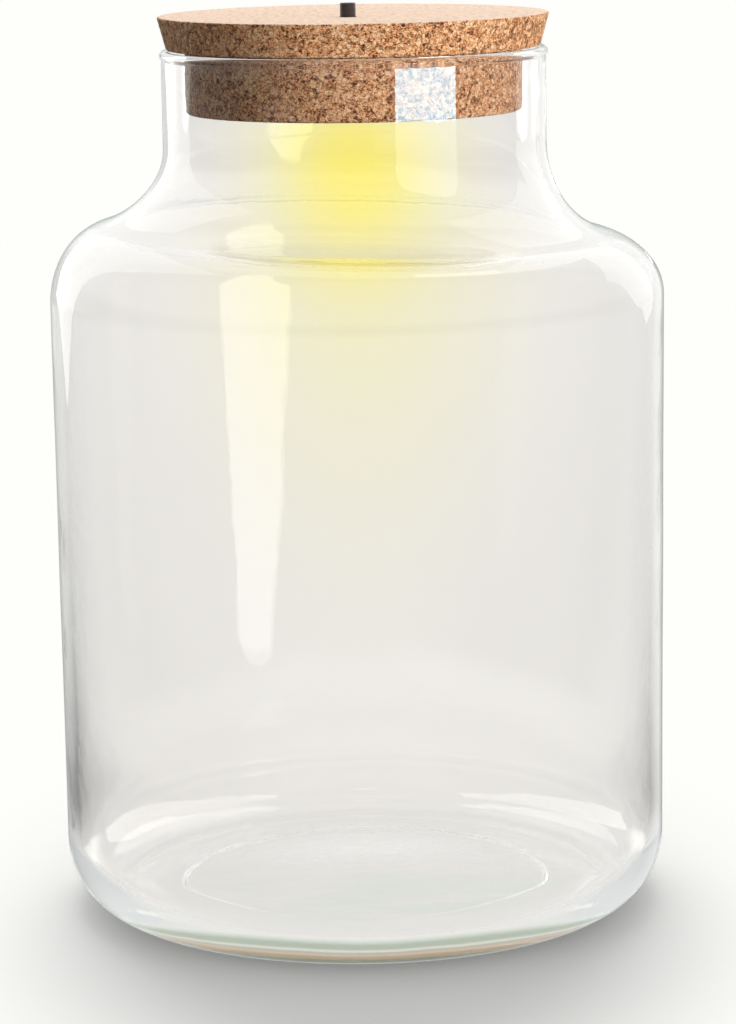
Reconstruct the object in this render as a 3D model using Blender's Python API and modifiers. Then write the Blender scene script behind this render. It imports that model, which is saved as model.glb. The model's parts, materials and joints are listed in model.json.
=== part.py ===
"""Wide-necked glass jar used as a terrarium, with a cork stopper that carries a battery lamp.

Metres, +Z up. The origin is the centre of the ring that the jar stands on.
The front, where the push button is, faces -Y.
"""

import math

import bmesh
import bpy
from mathutils import Vector

# Clearances and cutting
FIT_GAP = 0.0003  # between pieces that rest on or sit in each other
RUNNING_GAP = 0.0005  # around a piece that turns
LOCK_GAP = 0.0004  # above and below the cover's lugs
OVERLAP = 0.0009  # how deep joined shapes run into each other
OVERRUN = 0.0010  # how far a cutter runs past the face that it cuts
MERGE = 0.00001
SHARP_ANGLE = 35.0  # degrees between faces, above which an edge is shaded sharp

# Glass jar
JAR_HEIGHT = 0.2889
NECK_RADIUS = 0.0637
NECK_WALL = 0.0029
RIM_SWELL = 0.0006  # how far the fire-polished rim stands out from the neck
RIM_ROUND = 0.0016  # height of the rim's rounded top
RIM_BEAD_HEIGHT = 0.0050
THROAT_HEIGHT = 0.2572
SHOULDER_RADIUS = 0.0236
WALL_TOP = 0.2062
BODY_RADIUS_TOP = 0.1024
BODY_RADIUS_LOW = 0.1017
BODY_WALL = 0.0035
HEEL_HEIGHT = 0.0240
HEEL_WALL = 0.0044
FOOT_RADIUS = 0.0825
FOOT_RING_WIDTH = 0.0070
PUNT_RISE = 0.0040  # how far the underside is pushed up at its centre
BASE_THICKNESS = 0.0060
FLOOR_CROWN = 0.0028  # how far the inner floor rises at its centre
INNER_HEEL_WIDTH = 0.0185
INNER_HEEL_HEIGHT = 0.0200

# Cork stopper: a tapered lid disc glued on a ring that hangs in the neck
LID_THICKNESS = 0.0108
LID_RADIUS_TOP = 0.0648
LID_RADIUS_LOW = 0.0622
LID_EDGE_ROUND = 0.0007
PLUG_RADIUS = 0.0559
PLUG_DEPTH = 0.0206
PLUG_EDGE_ROUND = 0.0014

# Battery cells, size AAA
CELL_RADIUS = 0.00525
CELL_LENGTH = 0.0445
CELL_NUB_RADIUS = 0.0019
CELL_NUB_HEIGHT = 0.0009
CELL_EDGE = 0.0005
CELL_SPACING = 0.00275  # from the reflector to the cells beside it
CELL_SIDE_SHIFT = -0.0060  # the side cells sit this far towards the front
CELL_ROOF_GAP = 0.0006

# Battery contacts
PLATE_SIZE = 0.0090
PLATE_THICKNESS = 0.0004
PLATE_TAB_LENGTH = 0.0030
BATTERY_SPRING_LENGTH = 0.0049
BATTERY_SPRING_BASE = 0.0042
BATTERY_SPRING_TIP = 0.0026
BATTERY_SPRING_WIRE = 0.00035
BATTERY_SPRING_TURNS = 3.5

# Lamp housing: a round cup that opens downwards, screwed into the cork ring
HOUSING_WALL = 0.0018
HOUSING_FIT_GAP = 0.0004
FLANGE_WIDTH = 0.0064
FLANGE_THICKNESS = 0.0020
BAY_WALL = 0.0015
BAY_SIDE_GAP = 0.00025
BAY_DEPTH_SHARE = 0.8  # of the cell's radius, below its axis
BAY_CORNER_CLEARANCE = 0.0010
BOSS_RADIUS = 0.0024
BOSS_HEIGHT = 0.0035
HOUSING_SCREW_ANGLES = (30.0, 150.0, 270.0)

# Battery cover, held by three lugs like a bayonet cap
COVER_RECESS = 0.0003
COVER_THICKNESS = 0.0020
LEDGE_DEPTH = 0.0020
LEDGE_THICKNESS = 0.0012
LUG_THICKNESS = 0.0016
LUG_SET_DOWN = 0.0001  # from the skirt's edge to the top of a lug
SKIRT_WALL = 0.0016
LUG_ANGLES = (90.0, 210.0, 330.0)
LEDGE_SPAN = 48.0
LUG_SPAN = 40.0
GRIP_LENGTH = 0.0140
GRIP_WIDTH = 0.0026
GRIP_HEIGHT = 0.0014
GRIP_OFFSET = 0.0270
GRIP_EDGE_SHARE = 0.25  # of the grip's width, rounded off

# Light: board, light-emitting diodes, reflector and lens
BOARD_RADIUS = 0.0142
BOARD_THICKNESS = 0.0016
BOARD_SCREW_OFFSET = 0.0118
LED_SIZE = 0.0035
LED_HEIGHT = 0.0013
LED_OFFSET = 0.0030
LED_EDGE = 0.0003
RESISTOR_LENGTH = 0.0032
RESISTOR_WIDTH = 0.0016
RESISTOR_HEIGHT = 0.0007
RESISTOR_OFFSET = 0.0060
REFLECTOR_RADIUS = 0.0140
REFLECTOR_THROAT = 0.0072
REFLECTOR_WALL = 0.0010
LENS_RADIUS = 0.0126
LENS_RIM = 0.0024
LENS_WALL = 0.0012
LENS_BULGE = 0.0018

# Push switch
SWITCH_SIDE = -0.0016
SWITCH_FRONT = -0.0200
SWITCH_WIDTH = 0.0090
SWITCH_HEIGHT = 0.0095
SWITCH_FLOOR = 0.0010
SWITCH_EDGE = 0.0004
COLLAR_RECESS_DEPTH = 0.0036
CLIP_THICKNESS = 0.0012
CLIP_WIDTH = 0.0060
CLIP_DEPTH = 0.0055
TERMINAL_THICKNESS = 0.0006
TERMINAL_WIDTH = 0.0020
TERMINAL_LENGTH = 0.0040
TERMINAL_OFFSET = 0.0025
BUTTON_RADIUS = 0.00255
BUTTON_PROUD = 0.0045
BUTTON_TRAVEL = 0.0015
BUTTON_GAP = 0.0004
BUTTON_EDGE = 0.0004
COLLAR_RADIUS = 0.0034
COLLAR_THICKNESS = 0.0014
STEM_RADIUS = 0.0012
STEM_END_GAP = 0.0005
SWITCH_SPRING_RADIUS = 0.0020
SWITCH_SPRING_WIRE = 0.0002
SWITCH_SPRING_TURNS = 5

# Screws
SCREW_RADIUS = 0.00125
SCREW_LENGTH = 0.0100
SCREW_HEAD_RADIUS = 0.0022
SCREW_HEAD_HEIGHT = 0.0010
SCREW_TIP = 0.0020
BOARD_SCREW_RADIUS = 0.0010
BOARD_SCREW_LENGTH = 0.0048
BOARD_SCREW_HEAD_RADIUS = 0.0019
BOARD_SCREW_HEAD_HEIGHT = 0.0011
BOARD_SCREW_TIP = 0.0008
SLOT_WIDTH_SHARE = 0.28  # of the head's radius
SLOT_DEPTH_SHARE = 0.5  # of the head's height
SLOT_LENGTH_SHARE = 1.3  # of the head's radius

# Wires inside the housing
WIRE_RADIUS = 0.0006
WIRE_REACH = 0.0100  # how far a wire keeps its first direction
LINK_REACH = 0.0060
BOARD_WIRE_ANGLES = (-30.0, -60.0)  # where two wires meet the board's edge

# Faces round a full turn
JAR_SIDES = 48
CORK_SIDES = 48
CUP_SIDES = 40
SMALL_SIDES = 24
PIN_SIDES = 12

# Heights worked out from the sizes above
LID_BOTTOM = JAR_HEIGHT + FIT_GAP
LID_TOP = LID_BOTTOM + LID_THICKNESS
PLUG_TOP = LID_BOTTOM - FIT_GAP
PLUG_BOTTOM = PLUG_TOP - PLUG_DEPTH
ROOF = PLUG_TOP - HOUSING_WALL
FLANGE_TOP = PLUG_BOTTOM + FLANGE_THICKNESS
COVER_BOTTOM = PLUG_BOTTOM + COVER_RECESS
COVER_TOP = COVER_BOTTOM + COVER_THICKNESS
LEDGE_BOTTOM = COVER_TOP + LOCK_GAP
LEDGE_TOP = LEDGE_BOTTOM + LEDGE_THICKNESS
LUG_BOTTOM = LEDGE_TOP + LOCK_GAP
LUG_TOP = LUG_BOTTOM + LUG_THICKNESS
CELL_AXIS = ROOF - CELL_ROOF_GAP - CELL_RADIUS
BAY_BOTTOM = CELL_AXIS - CELL_RADIUS * BAY_DEPTH_SHARE
BOARD_TOP = ROOF - BOSS_HEIGHT - FIT_GAP
BOARD_BOTTOM = BOARD_TOP - BOARD_THICKNESS
BOARD_MIDDLE = BOARD_BOTTOM + BOARD_THICKNESS / 2
UNDER_BOARD = BOARD_BOTTOM - FIT_GAP
LENS_RIM_BOTTOM = COVER_TOP + FIT_GAP
LENS_RIM_TOP = LENS_RIM_BOTTOM + LENS_WALL
LENS_TIP = COVER_BOTTOM - LENS_BULGE
REFLECTOR_BOTTOM = LENS_RIM_TOP + LOCK_GAP
SWITCH_TOP = ROOF - FIT_GAP
SWITCH_BOTTOM = SWITCH_TOP - SWITCH_HEIGHT
SPRING_SEAT = SWITCH_BOTTOM + SWITCH_FLOOR
BUTTON_TOP = LID_TOP + BUTTON_PROUD
COLLAR_TOP = ROOF - FIT_GAP
COLLAR_BOTTOM = COLLAR_TOP - COLLAR_THICKNESS
STEM_BOTTOM = SPRING_SEAT + BUTTON_TRAVEL + STEM_END_GAP
TERMINAL_TOP = SWITCH_BOTTOM - FIT_GAP
WIRE_LOW = TERMINAL_TOP - TERMINAL_LENGTH + WIRE_RADIUS * 2

# Radii and places worked out from the sizes above
BUTTON_BORE = BUTTON_RADIUS + BUTTON_GAP
CELL_SIDE = REFLECTOR_RADIUS + CELL_SPACING + CELL_RADIUS
BAY_LENGTH = CELL_LENGTH + PLATE_THICKNESS + BATTERY_SPRING_LENGTH + FIT_GAP * 4
BAY_HALF_WIDTH = CELL_RADIUS + BAY_SIDE_GAP
SIDE_BAY_FRONT = CELL_SIDE_SHIFT - BAY_LENGTH / 2
SIDE_BAY_REAR = CELL_SIDE_SHIFT + BAY_LENGTH / 2
CELL_BACK = SIDE_BAY_REAR + BAY_WALL + RUNNING_GAP + BAY_SIDE_GAP + CELL_RADIUS
HOUSING_INNER = math.hypot(CELL_SIDE + BAY_HALF_WIDTH, SIDE_BAY_FRONT) + BAY_CORNER_CLEARANCE
HOUSING_RADIUS = HOUSING_INNER + HOUSING_WALL
FLANGE_RADIUS = HOUSING_RADIUS + FLANGE_WIDTH
POCKET_RADIUS = HOUSING_RADIUS + HOUSING_FIT_GAP
SCREW_CIRCLE = HOUSING_RADIUS + FLANGE_WIDTH / 2
LEDGE_RADIUS = HOUSING_INNER - LEDGE_DEPTH
SKIRT_RADIUS = LEDGE_RADIUS - RUNNING_GAP
COVER_RADIUS = HOUSING_INNER - RUNNING_GAP
LENS_HOLE = LENS_RADIUS + LOCK_GAP
SPRING_BORE = SWITCH_SPRING_RADIUS + SWITCH_SPRING_WIRE + FIT_GAP

# Each bay: centre, and the way its cell's raised end points
BAYS = (
    (Vector((-CELL_SIDE, CELL_SIDE_SHIFT, CELL_AXIS)), Vector((0, -1, 0))),
    (Vector((0, CELL_BACK, CELL_AXIS)), Vector((-1, 0, 0))),
    (Vector((CELL_SIDE, CELL_SIDE_SHIFT, CELL_AXIS)), Vector((0, 1, 0))),
)
UP = Vector((0, 0, 1))


def clear_scene():
    for obj in list(bpy.data.objects):
        bpy.data.objects.remove(obj, do_unlink=True)


def new_collection(name, is_helper):
    collection = bpy.data.collections.new(name)
    collection.hide_render = is_helper
    bpy.context.scene.collection.children.link(collection)
    return collection


def new_material(name, colour, roughness, metallic=0.0, transmission=0.0):
    material = bpy.data.materials.new(name)
    material.use_nodes = True
    shader = material.node_tree.nodes["Principled BSDF"]
    shader.inputs["Base Color"].default_value = (*colour, 1.0)
    shader.inputs["Roughness"].default_value = roughness
    shader.inputs["Metallic"].default_value = metallic
    shader.inputs["Transmission Weight"].default_value = transmission
    material.diffuse_color = (*colour, 1.0)
    return material


clear_scene()
PARTS = new_collection("Glass_terrarium", is_helper=False)
CUTTERS = new_collection("Cutters", is_helper=True)

GLASS = new_material("clear_glass", (0.92, 0.96, 0.94), 0.02, transmission=1.0)
CORK = new_material("agglomerated_cork", (0.55, 0.36, 0.22), 0.85)
WHITE_PLASTIC = new_material("white_plastic", (0.86, 0.86, 0.84), 0.45)
BLACK_PLASTIC = new_material("black_plastic", (0.015, 0.015, 0.017), 0.3)
FROSTED_PLASTIC = new_material("frosted_plastic", (0.95, 0.92, 0.78), 0.5, transmission=0.6)
STEEL = new_material("plated_steel", (0.72, 0.72, 0.70), 0.28, metallic=1.0)
SILVERED = new_material("silvered_plastic", (0.88, 0.88, 0.86), 0.15, metallic=1.0)
CELL_SLEEVE = new_material("cell_sleeve", (0.08, 0.24, 0.20), 0.35)
BOARD_LACQUER = new_material("board_lacquer", (0.88, 0.89, 0.86), 0.4)
PHOSPHOR = new_material("phosphor", (0.95, 0.80, 0.25), 0.4)
RED_INSULATION = new_material("red_insulation", (0.60, 0.03, 0.02), 0.4)
BLACK_INSULATION = new_material("black_insulation", (0.02, 0.02, 0.02), 0.4)


def put(obj, material, is_helper=False):
    """Files the object with the parts or with the cutters, and gives it its material."""
    for collection in list(obj.users_collection):
        collection.objects.unlink(obj)
    (CUTTERS if is_helper else PARTS).objects.link(obj)
    if material:
        obj.data.materials.clear()
        obj.data.materials.append(material)
    if is_helper:
        obj.hide_render = True
        obj.display_type = "WIRE"
    return obj


def evaluated_mesh(obj):
    bpy.context.view_layer.update()
    graph = bpy.context.evaluated_depsgraph_get()
    return bpy.data.meshes.new_from_object(obj.evaluated_get(graph))


def arc(centre, radii, start, end, steps):
    """Points (radius, height) on an ellipse about centre, from start to end in degrees."""
    points = []
    for step in range(steps + 1):
        angle = math.radians(start + (end - start) * step / steps)
        points.append((centre[0] + radii[0] * math.cos(angle), centre[1] + radii[1] * math.sin(angle)))
    return points


def s_bend(low, high, lower_radius, steps):
    """Two arcs that meet smoothly, from a wall rising at low to a narrower one rising at high."""
    inset = low[0] - high[0]
    rise = high[1] - low[1]
    turn = 2 * math.atan2(inset, rise)
    upper_radius = rise / math.sin(turn) - lower_radius
    turn = math.degrees(turn)
    points = arc((low[0] - lower_radius, low[1]), (lower_radius, lower_radius), 0, turn, steps)
    points += arc((high[0] + upper_radius, high[1]), (upper_radius, upper_radius), 180 + turn, 180, steps)[1:]
    return points


def crown(radius, edge_height, rise, steps):
    """Points from the axis out to radius, on a surface that rises smoothly towards the axis."""
    points = []
    for step in range(steps + 1):
        share = step / steps
        points.append((radius * share, edge_height + rise * (1 + math.cos(math.pi * share)) / 2))
    return points


def turned(name, profile, sides, material, closed=False, is_helper=False):
    """A solid of revolution about Z from (radius, height) points, its outer side running down."""
    edges = [(index, index + 1) for index in range(len(profile) - 1)]
    if closed:
        edges.append((len(profile) - 1, 0))
    outline = bpy.data.meshes.new(name)
    outline.from_pydata([(radius, 0, height) for radius, height in profile], edges, [])
    obj = put(bpy.data.objects.new(name, outline), None, is_helper)
    screw = obj.modifiers.new("Turn", "SCREW")
    screw.steps = sides
    screw.render_steps = sides
    screw.use_merge_vertices = True
    screw.merge_threshold = MERGE
    obj.data = evaluated_mesh(obj)
    obj.modifiers.clear()
    obj.data.shade_smooth()
    obj.data.set_sharp_from_angle(angle=math.radians(SHARP_ANGLE))
    bpy.data.meshes.remove(outline)
    return put(obj, material, is_helper)


def cylinder(name, radius, bottom, top, place, sides, material, is_helper=False):
    height = top - bottom
    location = (place[0], place[1], bottom + height / 2)
    bpy.ops.mesh.primitive_cylinder_add(vertices=sides, radius=radius, depth=height, location=location)
    obj = bpy.context.object
    obj.name = name
    obj.data.shade_smooth()
    obj.data.set_sharp_from_angle(angle=math.radians(SHARP_ANGLE))
    return put(obj, material, is_helper)


def box(name, size, centre, material, edge=0, is_helper=False):
    bpy.ops.mesh.primitive_cube_add(size=1, location=centre)
    obj = bpy.context.object
    obj.name = name
    obj.scale = size
    bpy.ops.object.transform_apply(location=False, rotation=False, scale=True)
    if edge:
        bevel = obj.modifiers.new("Rounded edges", "BEVEL")
        bevel.width = edge
        bevel.segments = 2
    return put(obj, material, is_helper)


def flat_plate(name, outline, thickness, material, is_helper=False):
    """A flat outline in XY, thick along Z about zero, as a mesh with welded caps."""
    curve = bpy.data.curves.new(name, "CURVE")
    curve.dimensions = "2D"
    curve.fill_mode = "BOTH"
    curve.extrude = thickness / 2
    spline = curve.splines.new("POLY")
    spline.points.add(len(outline) - 1)
    for point, (x, y) in zip(spline.points, outline):
        point.co = (x, y, 0, 1)
    spline.use_cyclic_u = True
    guide = put(bpy.data.objects.new(name + "_outline", curve), None, is_helper=True)
    mesh = evaluated_mesh(guide)
    bpy.data.objects.remove(guide, do_unlink=True)
    bpy.data.curves.remove(curve)
    faces = bmesh.new()
    faces.from_mesh(mesh)
    bmesh.ops.remove_doubles(faces, verts=faces.verts, dist=MERGE)
    faces.to_mesh(mesh)
    faces.free()
    mesh.name = name
    return put(bpy.data.objects.new(name, mesh), material, is_helper)


def sector(name, inner, outer, middle_angle, span, bottom, top, steps=6):
    """A helper block that is a piece of a ring, between two radii and two heights."""
    start = middle_angle - span / 2
    end = middle_angle + span / 2
    outline = arc((0, 0), (outer, outer), start, end, steps)
    outline += arc((0, 0), (inner, inner), end, start, steps)
    obj = flat_plate(name, outline, top - bottom, None, is_helper=True)
    obj.location.z = (bottom + top) / 2
    return obj


def combine(obj, operand, operation):
    boolean = obj.modifiers.new(operand.name, "BOOLEAN")
    boolean.operation = operation
    boolean.object = operand
    boolean.solver = "EXACT"


def cut(obj, operand):
    combine(obj, operand, "DIFFERENCE")


def join(obj, operand):
    combine(obj, operand, "UNION")


def point_along(obj, start, direction):
    """Turns the object so that its own +Z points along direction, from start."""
    obj.rotation_euler = direction.to_track_quat("Z", "Y").to_euler()
    obj.location = start


def tube(name, points, radius, material, smoothness):
    """A wire along the points, with filled ends."""
    curve = bpy.data.curves.new(name, "CURVE")
    curve.dimensions = "3D"
    curve.bevel_depth = radius
    curve.bevel_resolution = smoothness
    curve.use_fill_caps = True
    spline = curve.splines.new("POLY")
    spline.points.add(len(points) - 1)
    for point, place in zip(spline.points, points):
        point.co = (*place, 1)
    return put(bpy.data.objects.new(name, curve), material)


def coil_points(turns, first_radius, last_radius, length, points_a_turn=10):
    """A helix along +Z from zero to length, whose radius changes evenly."""
    count = round(turns * points_a_turn)
    points = []
    for index in range(count + 1):
        share = index / count
        radius = first_radius + (last_radius - first_radius) * share
        angle = 2 * math.pi * turns * share
        points.append(Vector((radius * math.cos(angle), radius * math.sin(angle), length * share)))
    return points


def least_gap(points, wire_radius, points_a_turn=10):
    """The smallest clear space between turns of a coil, measured on its points."""
    least = math.inf
    for index, point in enumerate(points):
        for other in points[index + points_a_turn // 2 + 1 :]:
            least = min(least, (point - other).length)
    return least - wire_radius * 2


def smooth_route(start, leave, end, arrive, steps=14):
    """Points of a curve from start, heading along leave, to end, heading along arrive."""
    points = []
    for step in range(steps + 1):
        t = step / steps
        from_start = start * (2 * t**3 - 3 * t**2 + 1) + leave * (t**3 - 2 * t**2 + t)
        to_end = end * (3 * t**2 - 2 * t**3) + arrive * (t**3 - t**2)
        points.append(from_start + to_end)
    return points


def polar(radius, angle, height):
    turn = math.radians(angle)
    return Vector((radius * math.cos(turn), radius * math.sin(turn), height))


def jar_profile():
    """From the middle of the inner floor, up the inside, over the rim and down the outside."""
    floor_radius = BODY_RADIUS_LOW - HEEL_WALL - INNER_HEEL_WIDTH
    inner_top = (BODY_RADIUS_TOP - BODY_WALL, WALL_TOP)
    inner_neck = NECK_RADIUS - NECK_WALL
    rim_radius = NECK_RADIUS + RIM_SWELL
    points = crown(floor_radius, BASE_THICKNESS, FLOOR_CROWN, 5)
    heel_centre = (floor_radius, BASE_THICKNESS + INNER_HEEL_HEIGHT)
    points += arc(heel_centre, (INNER_HEEL_WIDTH, INNER_HEEL_HEIGHT), -90, 0, 6)[1:]
    points += s_bend(inner_top, (inner_neck, THROAT_HEIGHT), SHOULDER_RADIUS - BODY_WALL, 6)
    rim_centre = ((inner_neck + rim_radius) / 2, JAR_HEIGHT - RIM_ROUND)
    rim_half = (rim_radius - inner_neck) / 2
    points += arc(rim_centre, (rim_half, RIM_ROUND), 180, 0, 6)
    points.append((rim_radius, JAR_HEIGHT - RIM_BEAD_HEIGHT / 2))
    points.append((NECK_RADIUS, JAR_HEIGHT - RIM_BEAD_HEIGHT))
    outer_top = (BODY_RADIUS_TOP, WALL_TOP)
    points += reversed(s_bend(outer_top, (NECK_RADIUS, THROAT_HEIGHT), SHOULDER_RADIUS, 6))
    heel_radii = (BODY_RADIUS_LOW - FOOT_RADIUS, HEEL_HEIGHT)
    points += arc((FOOT_RADIUS, HEEL_HEIGHT), heel_radii, 0, -90, 7)
    points += reversed(crown(FOOT_RADIUS - FOOT_RING_WIDTH, 0, PUNT_RISE, 5))
    return points


def make_jar():
    return [turned("glass_jar", jar_profile(), JAR_SIDES, GLASS)]


def button_bore():
    return cylinder(
        "button_bore", BUTTON_BORE, ROOF - OVERRUN, LID_TOP + OVERRUN,
        (SWITCH_SIDE, SWITCH_FRONT), SMALL_SIDES, None, is_helper=True,
    )


def make_cork(bore):
    lid_profile = [(0, LID_TOP)]
    lid_profile += arc(
        (LID_RADIUS_TOP - LID_EDGE_ROUND, LID_TOP - LID_EDGE_ROUND), (LID_EDGE_ROUND, LID_EDGE_ROUND), 90, 0, 3
    )
    lid_profile += arc(
        (LID_RADIUS_LOW - LID_EDGE_ROUND, LID_BOTTOM + LID_EDGE_ROUND), (LID_EDGE_ROUND, LID_EDGE_ROUND), 0, -90, 3
    )
    lid_profile.append((0, LID_BOTTOM))
    lid = turned("cork_lid", lid_profile, CORK_SIDES, CORK)
    cut(lid, bore)

    edge = (PLUG_EDGE_ROUND, PLUG_EDGE_ROUND)
    inner_edge = PLUG_RADIUS - PLUG_EDGE_ROUND
    seat = FLANGE_TOP + FIT_GAP
    plug_profile = arc((inner_edge, PLUG_TOP - PLUG_EDGE_ROUND), edge, 90, 0, 3)
    plug_profile += arc((inner_edge, PLUG_BOTTOM + PLUG_EDGE_ROUND), edge, 0, -90, 3)
    plug_profile += [(FLANGE_RADIUS + FIT_GAP, PLUG_BOTTOM), (FLANGE_RADIUS + FIT_GAP, seat)]
    plug_profile += [(POCKET_RADIUS, seat), (POCKET_RADIUS, PLUG_TOP)]
    plug = turned("cork_plug", plug_profile, CORK_SIDES, CORK, closed=True)
    for number, angle in enumerate(HOUSING_SCREW_ANGLES, 1):
        hole_top = PLUG_BOTTOM + SCREW_LENGTH + FIT_GAP
        hole = cylinder(
            f"cork_screw_hole_{number}", SCREW_RADIUS + FIT_GAP, seat - OVERRUN, hole_top,
            polar(SCREW_CIRCLE, angle, 0), PIN_SIDES, None, is_helper=True,
        )
        cut(plug, hole)
    return [lid, plug]


def bay_end_walls(number, centre, direction):
    """The two walls that hold a cell's contacts, as helper boxes that run into the roof."""
    across = BAY_HALF_WIDTH * 2
    height = ROOF + OVERLAP - BAY_BOTTOM
    size = (BAY_WALL, across, height) if direction.x else (across, BAY_WALL, height)
    walls = []
    for end, side in enumerate((-1, 1), 1):
        place = centre + direction * side * (BAY_LENGTH + BAY_WALL) / 2
        place.z = BAY_BOTTOM + height / 2
        walls.append(box(f"bay_{number}_wall_{end}", size, place, None, is_helper=True))
    return walls


def switch_clips():
    """Two walls that hold the switch body under the roof."""
    offset = (SWITCH_WIDTH + CLIP_THICKNESS) / 2 + FIT_GAP
    height = CLIP_DEPTH + OVERLAP
    clips = []
    for number, side in enumerate((-1, 1), 1):
        centre = (SWITCH_SIDE + side * offset, SWITCH_FRONT, ROOF - CLIP_DEPTH + height / 2)
        size = (CLIP_THICKNESS, CLIP_WIDTH, height)
        clips.append(box(f"switch_clip_{number}", size, centre, None, is_helper=True))
    return clips


def make_housing(bore):
    profile = [
        (0, PLUG_TOP), (HOUSING_RADIUS, PLUG_TOP), (HOUSING_RADIUS, FLANGE_TOP), (FLANGE_RADIUS, FLANGE_TOP),
        (FLANGE_RADIUS, PLUG_BOTTOM), (HOUSING_INNER, PLUG_BOTTOM), (HOUSING_INNER, ROOF), (0, ROOF),
    ]
    housing = turned("lamp_housing", profile, CUP_SIDES, WHITE_PLASTIC)
    for number, (centre, direction) in enumerate(BAYS, 1):
        for wall in bay_end_walls(number, centre, direction):
            join(housing, wall)
    for clip in switch_clips():
        join(housing, clip)
    for number, angle in enumerate(LUG_ANGLES, 1):
        ledge = sector(
            f"ledge_{number}", LEDGE_RADIUS, HOUSING_INNER + OVERLAP, angle, LEDGE_SPAN, LEDGE_BOTTOM, LEDGE_TOP
        )
        join(housing, ledge)
    for number, side in enumerate((-1, 1), 1):
        place = (side * BOARD_SCREW_OFFSET, 0)
        boss = cylinder(
            f"boss_{number}", BOSS_RADIUS, ROOF - BOSS_HEIGHT, ROOF + OVERLAP, place, PIN_SIDES, None,
            is_helper=True,
        )
        join(housing, boss)
    for number, side in enumerate((-1, 1), 1):
        place = (side * BOARD_SCREW_OFFSET, 0)
        hole_top = UNDER_BOARD + BOARD_SCREW_LENGTH + FIT_GAP
        hole = cylinder(
            f"boss_hole_{number}", BOARD_SCREW_RADIUS + FIT_GAP, BOARD_TOP - OVERRUN, hole_top, place,
            PIN_SIDES, None, is_helper=True,
        )
        cut(housing, hole)
    for number, angle in enumerate(HOUSING_SCREW_ANGLES, 1):
        cut(housing, countersink(number, angle))
    cut(housing, bore)
    return [housing]


def countersink(number, angle):
    """The cutter for a flange screw: its cone and shaft, with a clearance all round."""
    bottom = -OVERRUN
    top = FLANGE_THICKNESS + OVERRUN
    hole = SCREW_RADIUS + FIT_GAP
    head = SCREW_HEAD_RADIUS + FIT_GAP
    profile = [(0, top), (hole, top), (hole, SCREW_HEAD_HEIGHT + FIT_GAP), (head, FIT_GAP), (head, bottom)]
    profile.append((0, bottom))
    cutter = turned(f"countersink_{number}", profile, PIN_SIDES, None, is_helper=True)
    cutter.location = polar(SCREW_CIRCLE, angle, PLUG_BOTTOM)
    return cutter


def drive_slot(name, place, head_radius, head_height, face):
    """The cutter for the slot in a screw's head, which opens downwards at face."""
    depth = head_height * SLOT_DEPTH_SHARE
    size = (head_radius * SLOT_LENGTH_SHARE, head_radius * SLOT_WIDTH_SHARE, depth + OVERRUN)
    centre = (place[0], place[1], face + (depth - OVERRUN) / 2)
    return box(name, size, centre, None, is_helper=True)


def make_housing_screws():
    screws = []
    profile = [
        (0, SCREW_LENGTH), (SCREW_RADIUS, SCREW_LENGTH - SCREW_TIP), (SCREW_RADIUS, SCREW_HEAD_HEIGHT),
        (SCREW_HEAD_RADIUS, 0), (0, 0),
    ]
    for number, angle in enumerate(HOUSING_SCREW_ANGLES, 1):
        screw = turned(f"housing_screw_{number}", profile, PIN_SIDES, STEEL)
        screw.location = polar(SCREW_CIRCLE, angle, PLUG_BOTTOM)
        slot = drive_slot(
            f"housing_slot_{number}", screw.location, SCREW_HEAD_RADIUS, SCREW_HEAD_HEIGHT, PLUG_BOTTOM
        )
        cut(screw, slot)
        screws.append(screw)
    return screws


def make_board():
    board = cylinder("led_board", BOARD_RADIUS, BOARD_BOTTOM, BOARD_TOP, (0, 0), SMALL_SIDES, BOARD_LACQUER)
    pieces = [board]
    head = BOARD_SCREW_HEAD_HEIGHT
    profile = [
        (0, BOARD_SCREW_LENGTH), (BOARD_SCREW_RADIUS, BOARD_SCREW_LENGTH - BOARD_SCREW_TIP),
        (BOARD_SCREW_RADIUS, 0), (BOARD_SCREW_HEAD_RADIUS, 0), (BOARD_SCREW_HEAD_RADIUS, -head), (0, -head),
    ]
    for number, side in enumerate((-1, 1), 1):
        place = Vector((side * BOARD_SCREW_OFFSET, 0, UNDER_BOARD))
        hole = cylinder(
            f"board_hole_{number}", BOARD_SCREW_RADIUS + FIT_GAP, BOARD_BOTTOM - OVERRUN, BOARD_TOP + OVERRUN,
            place, PIN_SIDES, None, is_helper=True,
        )
        cut(board, hole)
        screw = turned(f"board_screw_{number}", profile, PIN_SIDES, STEEL)
        screw.location = place
        slot = drive_slot(f"board_slot_{number}", place, BOARD_SCREW_HEAD_RADIUS, head, UNDER_BOARD - head)
        cut(screw, slot)
        pieces.append(screw)
    return pieces


def make_leds():
    pieces = []
    corners = ((-1, -1), (1, -1), (1, 1), (-1, 1))
    for number, (side, end) in enumerate(corners, 1):
        centre = (side * LED_OFFSET, end * LED_OFFSET, UNDER_BOARD - LED_HEIGHT / 2)
        size = (LED_SIZE, LED_SIZE, LED_HEIGHT)
        pieces.append(box(f"led_{number}", size, centre, PHOSPHOR, edge=LED_EDGE))
    centre = (0, RESISTOR_OFFSET, BOARD_TOP + FIT_GAP + RESISTOR_HEIGHT / 2)
    size = (RESISTOR_LENGTH, RESISTOR_WIDTH, RESISTOR_HEIGHT)
    pieces.append(box("resistor", size, centre, BLACK_PLASTIC))
    return pieces


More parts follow.
